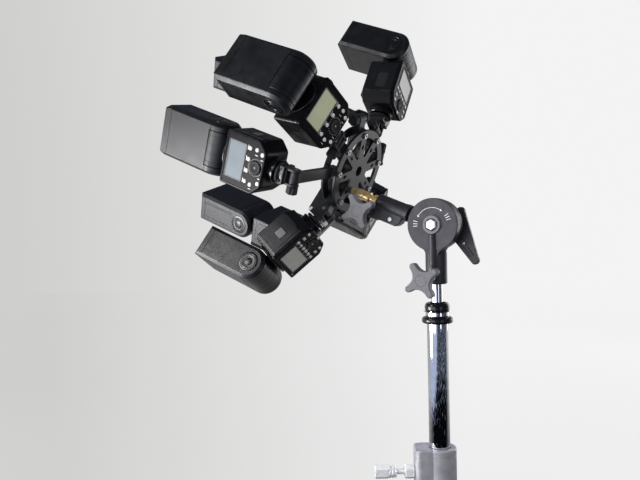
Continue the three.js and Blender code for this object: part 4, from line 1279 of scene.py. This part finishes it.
def wheelBolts():
    # socket screws on the rear plate, nuts on the front one
    rear = layout["wheelRear"]
    front = rear + 2 * layout["plateThick"] + layout["wheelGap"]
    bm = bmesh.new()
    for i in range(8):
        y, z = wheelPoint(wheel["boltRing"], stationAngle(i))
        turned(bm, [(0, rear - 1.2), (1.7, rear - 1.2), (2.1, rear - 2.9), (3.9, rear - 2.9),
                    (4.3, rear - 2.4), (4.3, rear), (0, rear)], "x", (y, z), 24)
        nut = stacked(bm, hexOutline(4.6), "x", [(front, 0), (front + 2.6, 0), (front + 3.2, -0.7)])
        moved(bm, nut, Matrix.Translation((0, y, z)))
    return asMesh(bm, 25)


def linkBar(reach):
    # thick where the plates clamp it, then a thinner blade that swells to the pivot's eye
    inner, edge, half, blade, eye, side = wheel["radius"] - 18, wheel["radius"], 7.7, 3.5, 7, 8
    outline = [(-half, inner), (half, inner), (half, edge - 0.4), (blade + 1.4, edge)]
    if reach - edge > 20:
        outline += [(blade, edge + 2.5), (blade, reach - eye - 2)]
        outline += arcPoints((0, reach), eye, -40, 220, 25)
        outline += [(-blade, reach - eye - 2), (-blade, edge + 2.5)]
    else:
        outline += arcPoints((0, reach), eye, -35, 215, 25)
    bm = bmesh.new()
    prism(bm, outline + [(-blade - 1.4, edge), (-half, edge - 0.4)], "y", -side, side)
    bevel(bm, edgesAt(bm, "y", -side) + edgesAt(bm, "y", side), 0.8)
    return asMesh(bm, 30)


def hingeFork(floor, offset):
    # two cheeks with a web between them, and a stalk up to the shoe's floor
    bm = bmesh.new()
    cheek = [(8, 0), (8, 11.9), (-8, 11.9), (-8, 0)] + arcPoints((0, 0), 8, 190, 350, 19)
    for low, high in ((-11.8, -8.3), (8.3, 11.8)):
        prism(bm, cheek, "y", low, high)
        bevel(bm, edgesAt(bm, "y", low) + edgesAt(bm, "y", high), 0.7)
    block(bm, (-8, -11.5, 8.6), (8, 11.5, 12), 0.8)
    if floor > 13:
        stalk = [(-4.5, 9), (4.5, 9), (4.5 - offset, floor + 0.5), (-4.5 - offset, floor + 0.5)]
        prism(bm, stalk, "y", -8.2, 8.2, 1.0)
    return asMesh(bm, 30)


def accessoryShoe(rise, floor, offset):
    # a shoe with turned-in rails, and the two screws in it
    shoe, screws = bmesh.new(), bmesh.new()
    top, lip = rise + 2.4, rise + 4
    prism(shoe, [(-12.5, floor), (12.5, floor), (12.5, lip), (7.1, lip), (7.1, top), (9.5, top), (9.5, rise),
                 (-9.5, rise), (-9.5, top), (-7.1, top), (-7.1, lip), (-12.5, lip)],
          "x", -12.5 - offset, 12.5 - offset, 0.45)
    profile = [(0, rise + 0.15), (1.1, rise + 0.15), (2.6, rise - 0.1), (2.6, rise - 0.5), (0, rise - 0.5)]
    for x in (-6, 6):
        turned(screws, profile, "z", (x - offset, 0), 20)
    return asMesh(shoe, 30), asMesh(screws)


def flutedOutline(grow):
    points = []
    for i in range(72):
        turn = 2 * pi * i / 72
        radius = 8 + grow - 1.1 * (0.5 - 0.5 * cos(6 * turn)) ** 2
        points.append((radius * cos(turn), radius * sin(turn)))
    return points


def smallKnob():
    # fluted thumb knob, and its screw through to the far cheek
    grip = bmesh.new()
    stacked(grip, flutedOutline, "y", [(12.2, -1.4), (12.8, -0.5), (13.6, -0.2), (21.6, 0), (22.5, -0.5),
                                       (23, -1.5)])
    turned(grip, [(0, 22.7), (3.6, 22.7), (3.9, 23), (0, 23.05)], "y", steps=32)
    screw = lathed([(0, -11.9), (2.6, -11.9), (2.95, -11.5), (2.95, 12.4), (0, 12.4)], "y", steps=24)
    return asMesh(grip, 30), screw


def dressWheel():
    rear = layout["wheelRear"]
    front = rear + layout["plateThick"] + layout["wheelGap"]
    settle("wheel", wheelFrame, "plate_grey", ("rear_plate", wheelPlate(rear), plateGrey, "hub_rear_plate"),
           ("front_plate", wheelPlate(front), plateGrey, "hub_front_plate"),
           ("wheel_core", wheelCore(), linkBlack, "hub_core"))
    settle("wheel", wheelFrame, "chrome", ("wheel_bolts", wheelBolts(), steel))
    grip, screw = smallKnob()
    for i, (_, reach, _, rise, offset, _) in enumerate(stations):
        number = i + 1
        floor = rise - 3
        knuckle, knob, hinge = f"knuckle_{number}", f"knuckle_knob_{number}", hingeFrame(i)
        shoe, screws = accessoryShoe(rise, floor, offset)
        settle("wheel", stationFrame(i), "plate_grey",
               (f"link_{number}", linkBar(reach), linkBlack, f"arm_{number}"))
        settle(knuckle, hinge, "plate_grey", (f"fork_{number}", hingeFork(floor, offset), linkBlack, knuckle),
               (f"shoe_{number}", shoe, linkBlack))
        settle(knuckle, hinge, "chrome", (f"shoe_screws_{number}", screws, steel))
        settle(knob, hinge, "flash_black", (f"thumb_grip_{number}", grip, rubber, knob))
        settle(knob, hinge, "chrome", (f"thumb_screw_{number}", screw, steel))


dressWheel()
print("wheel placed")
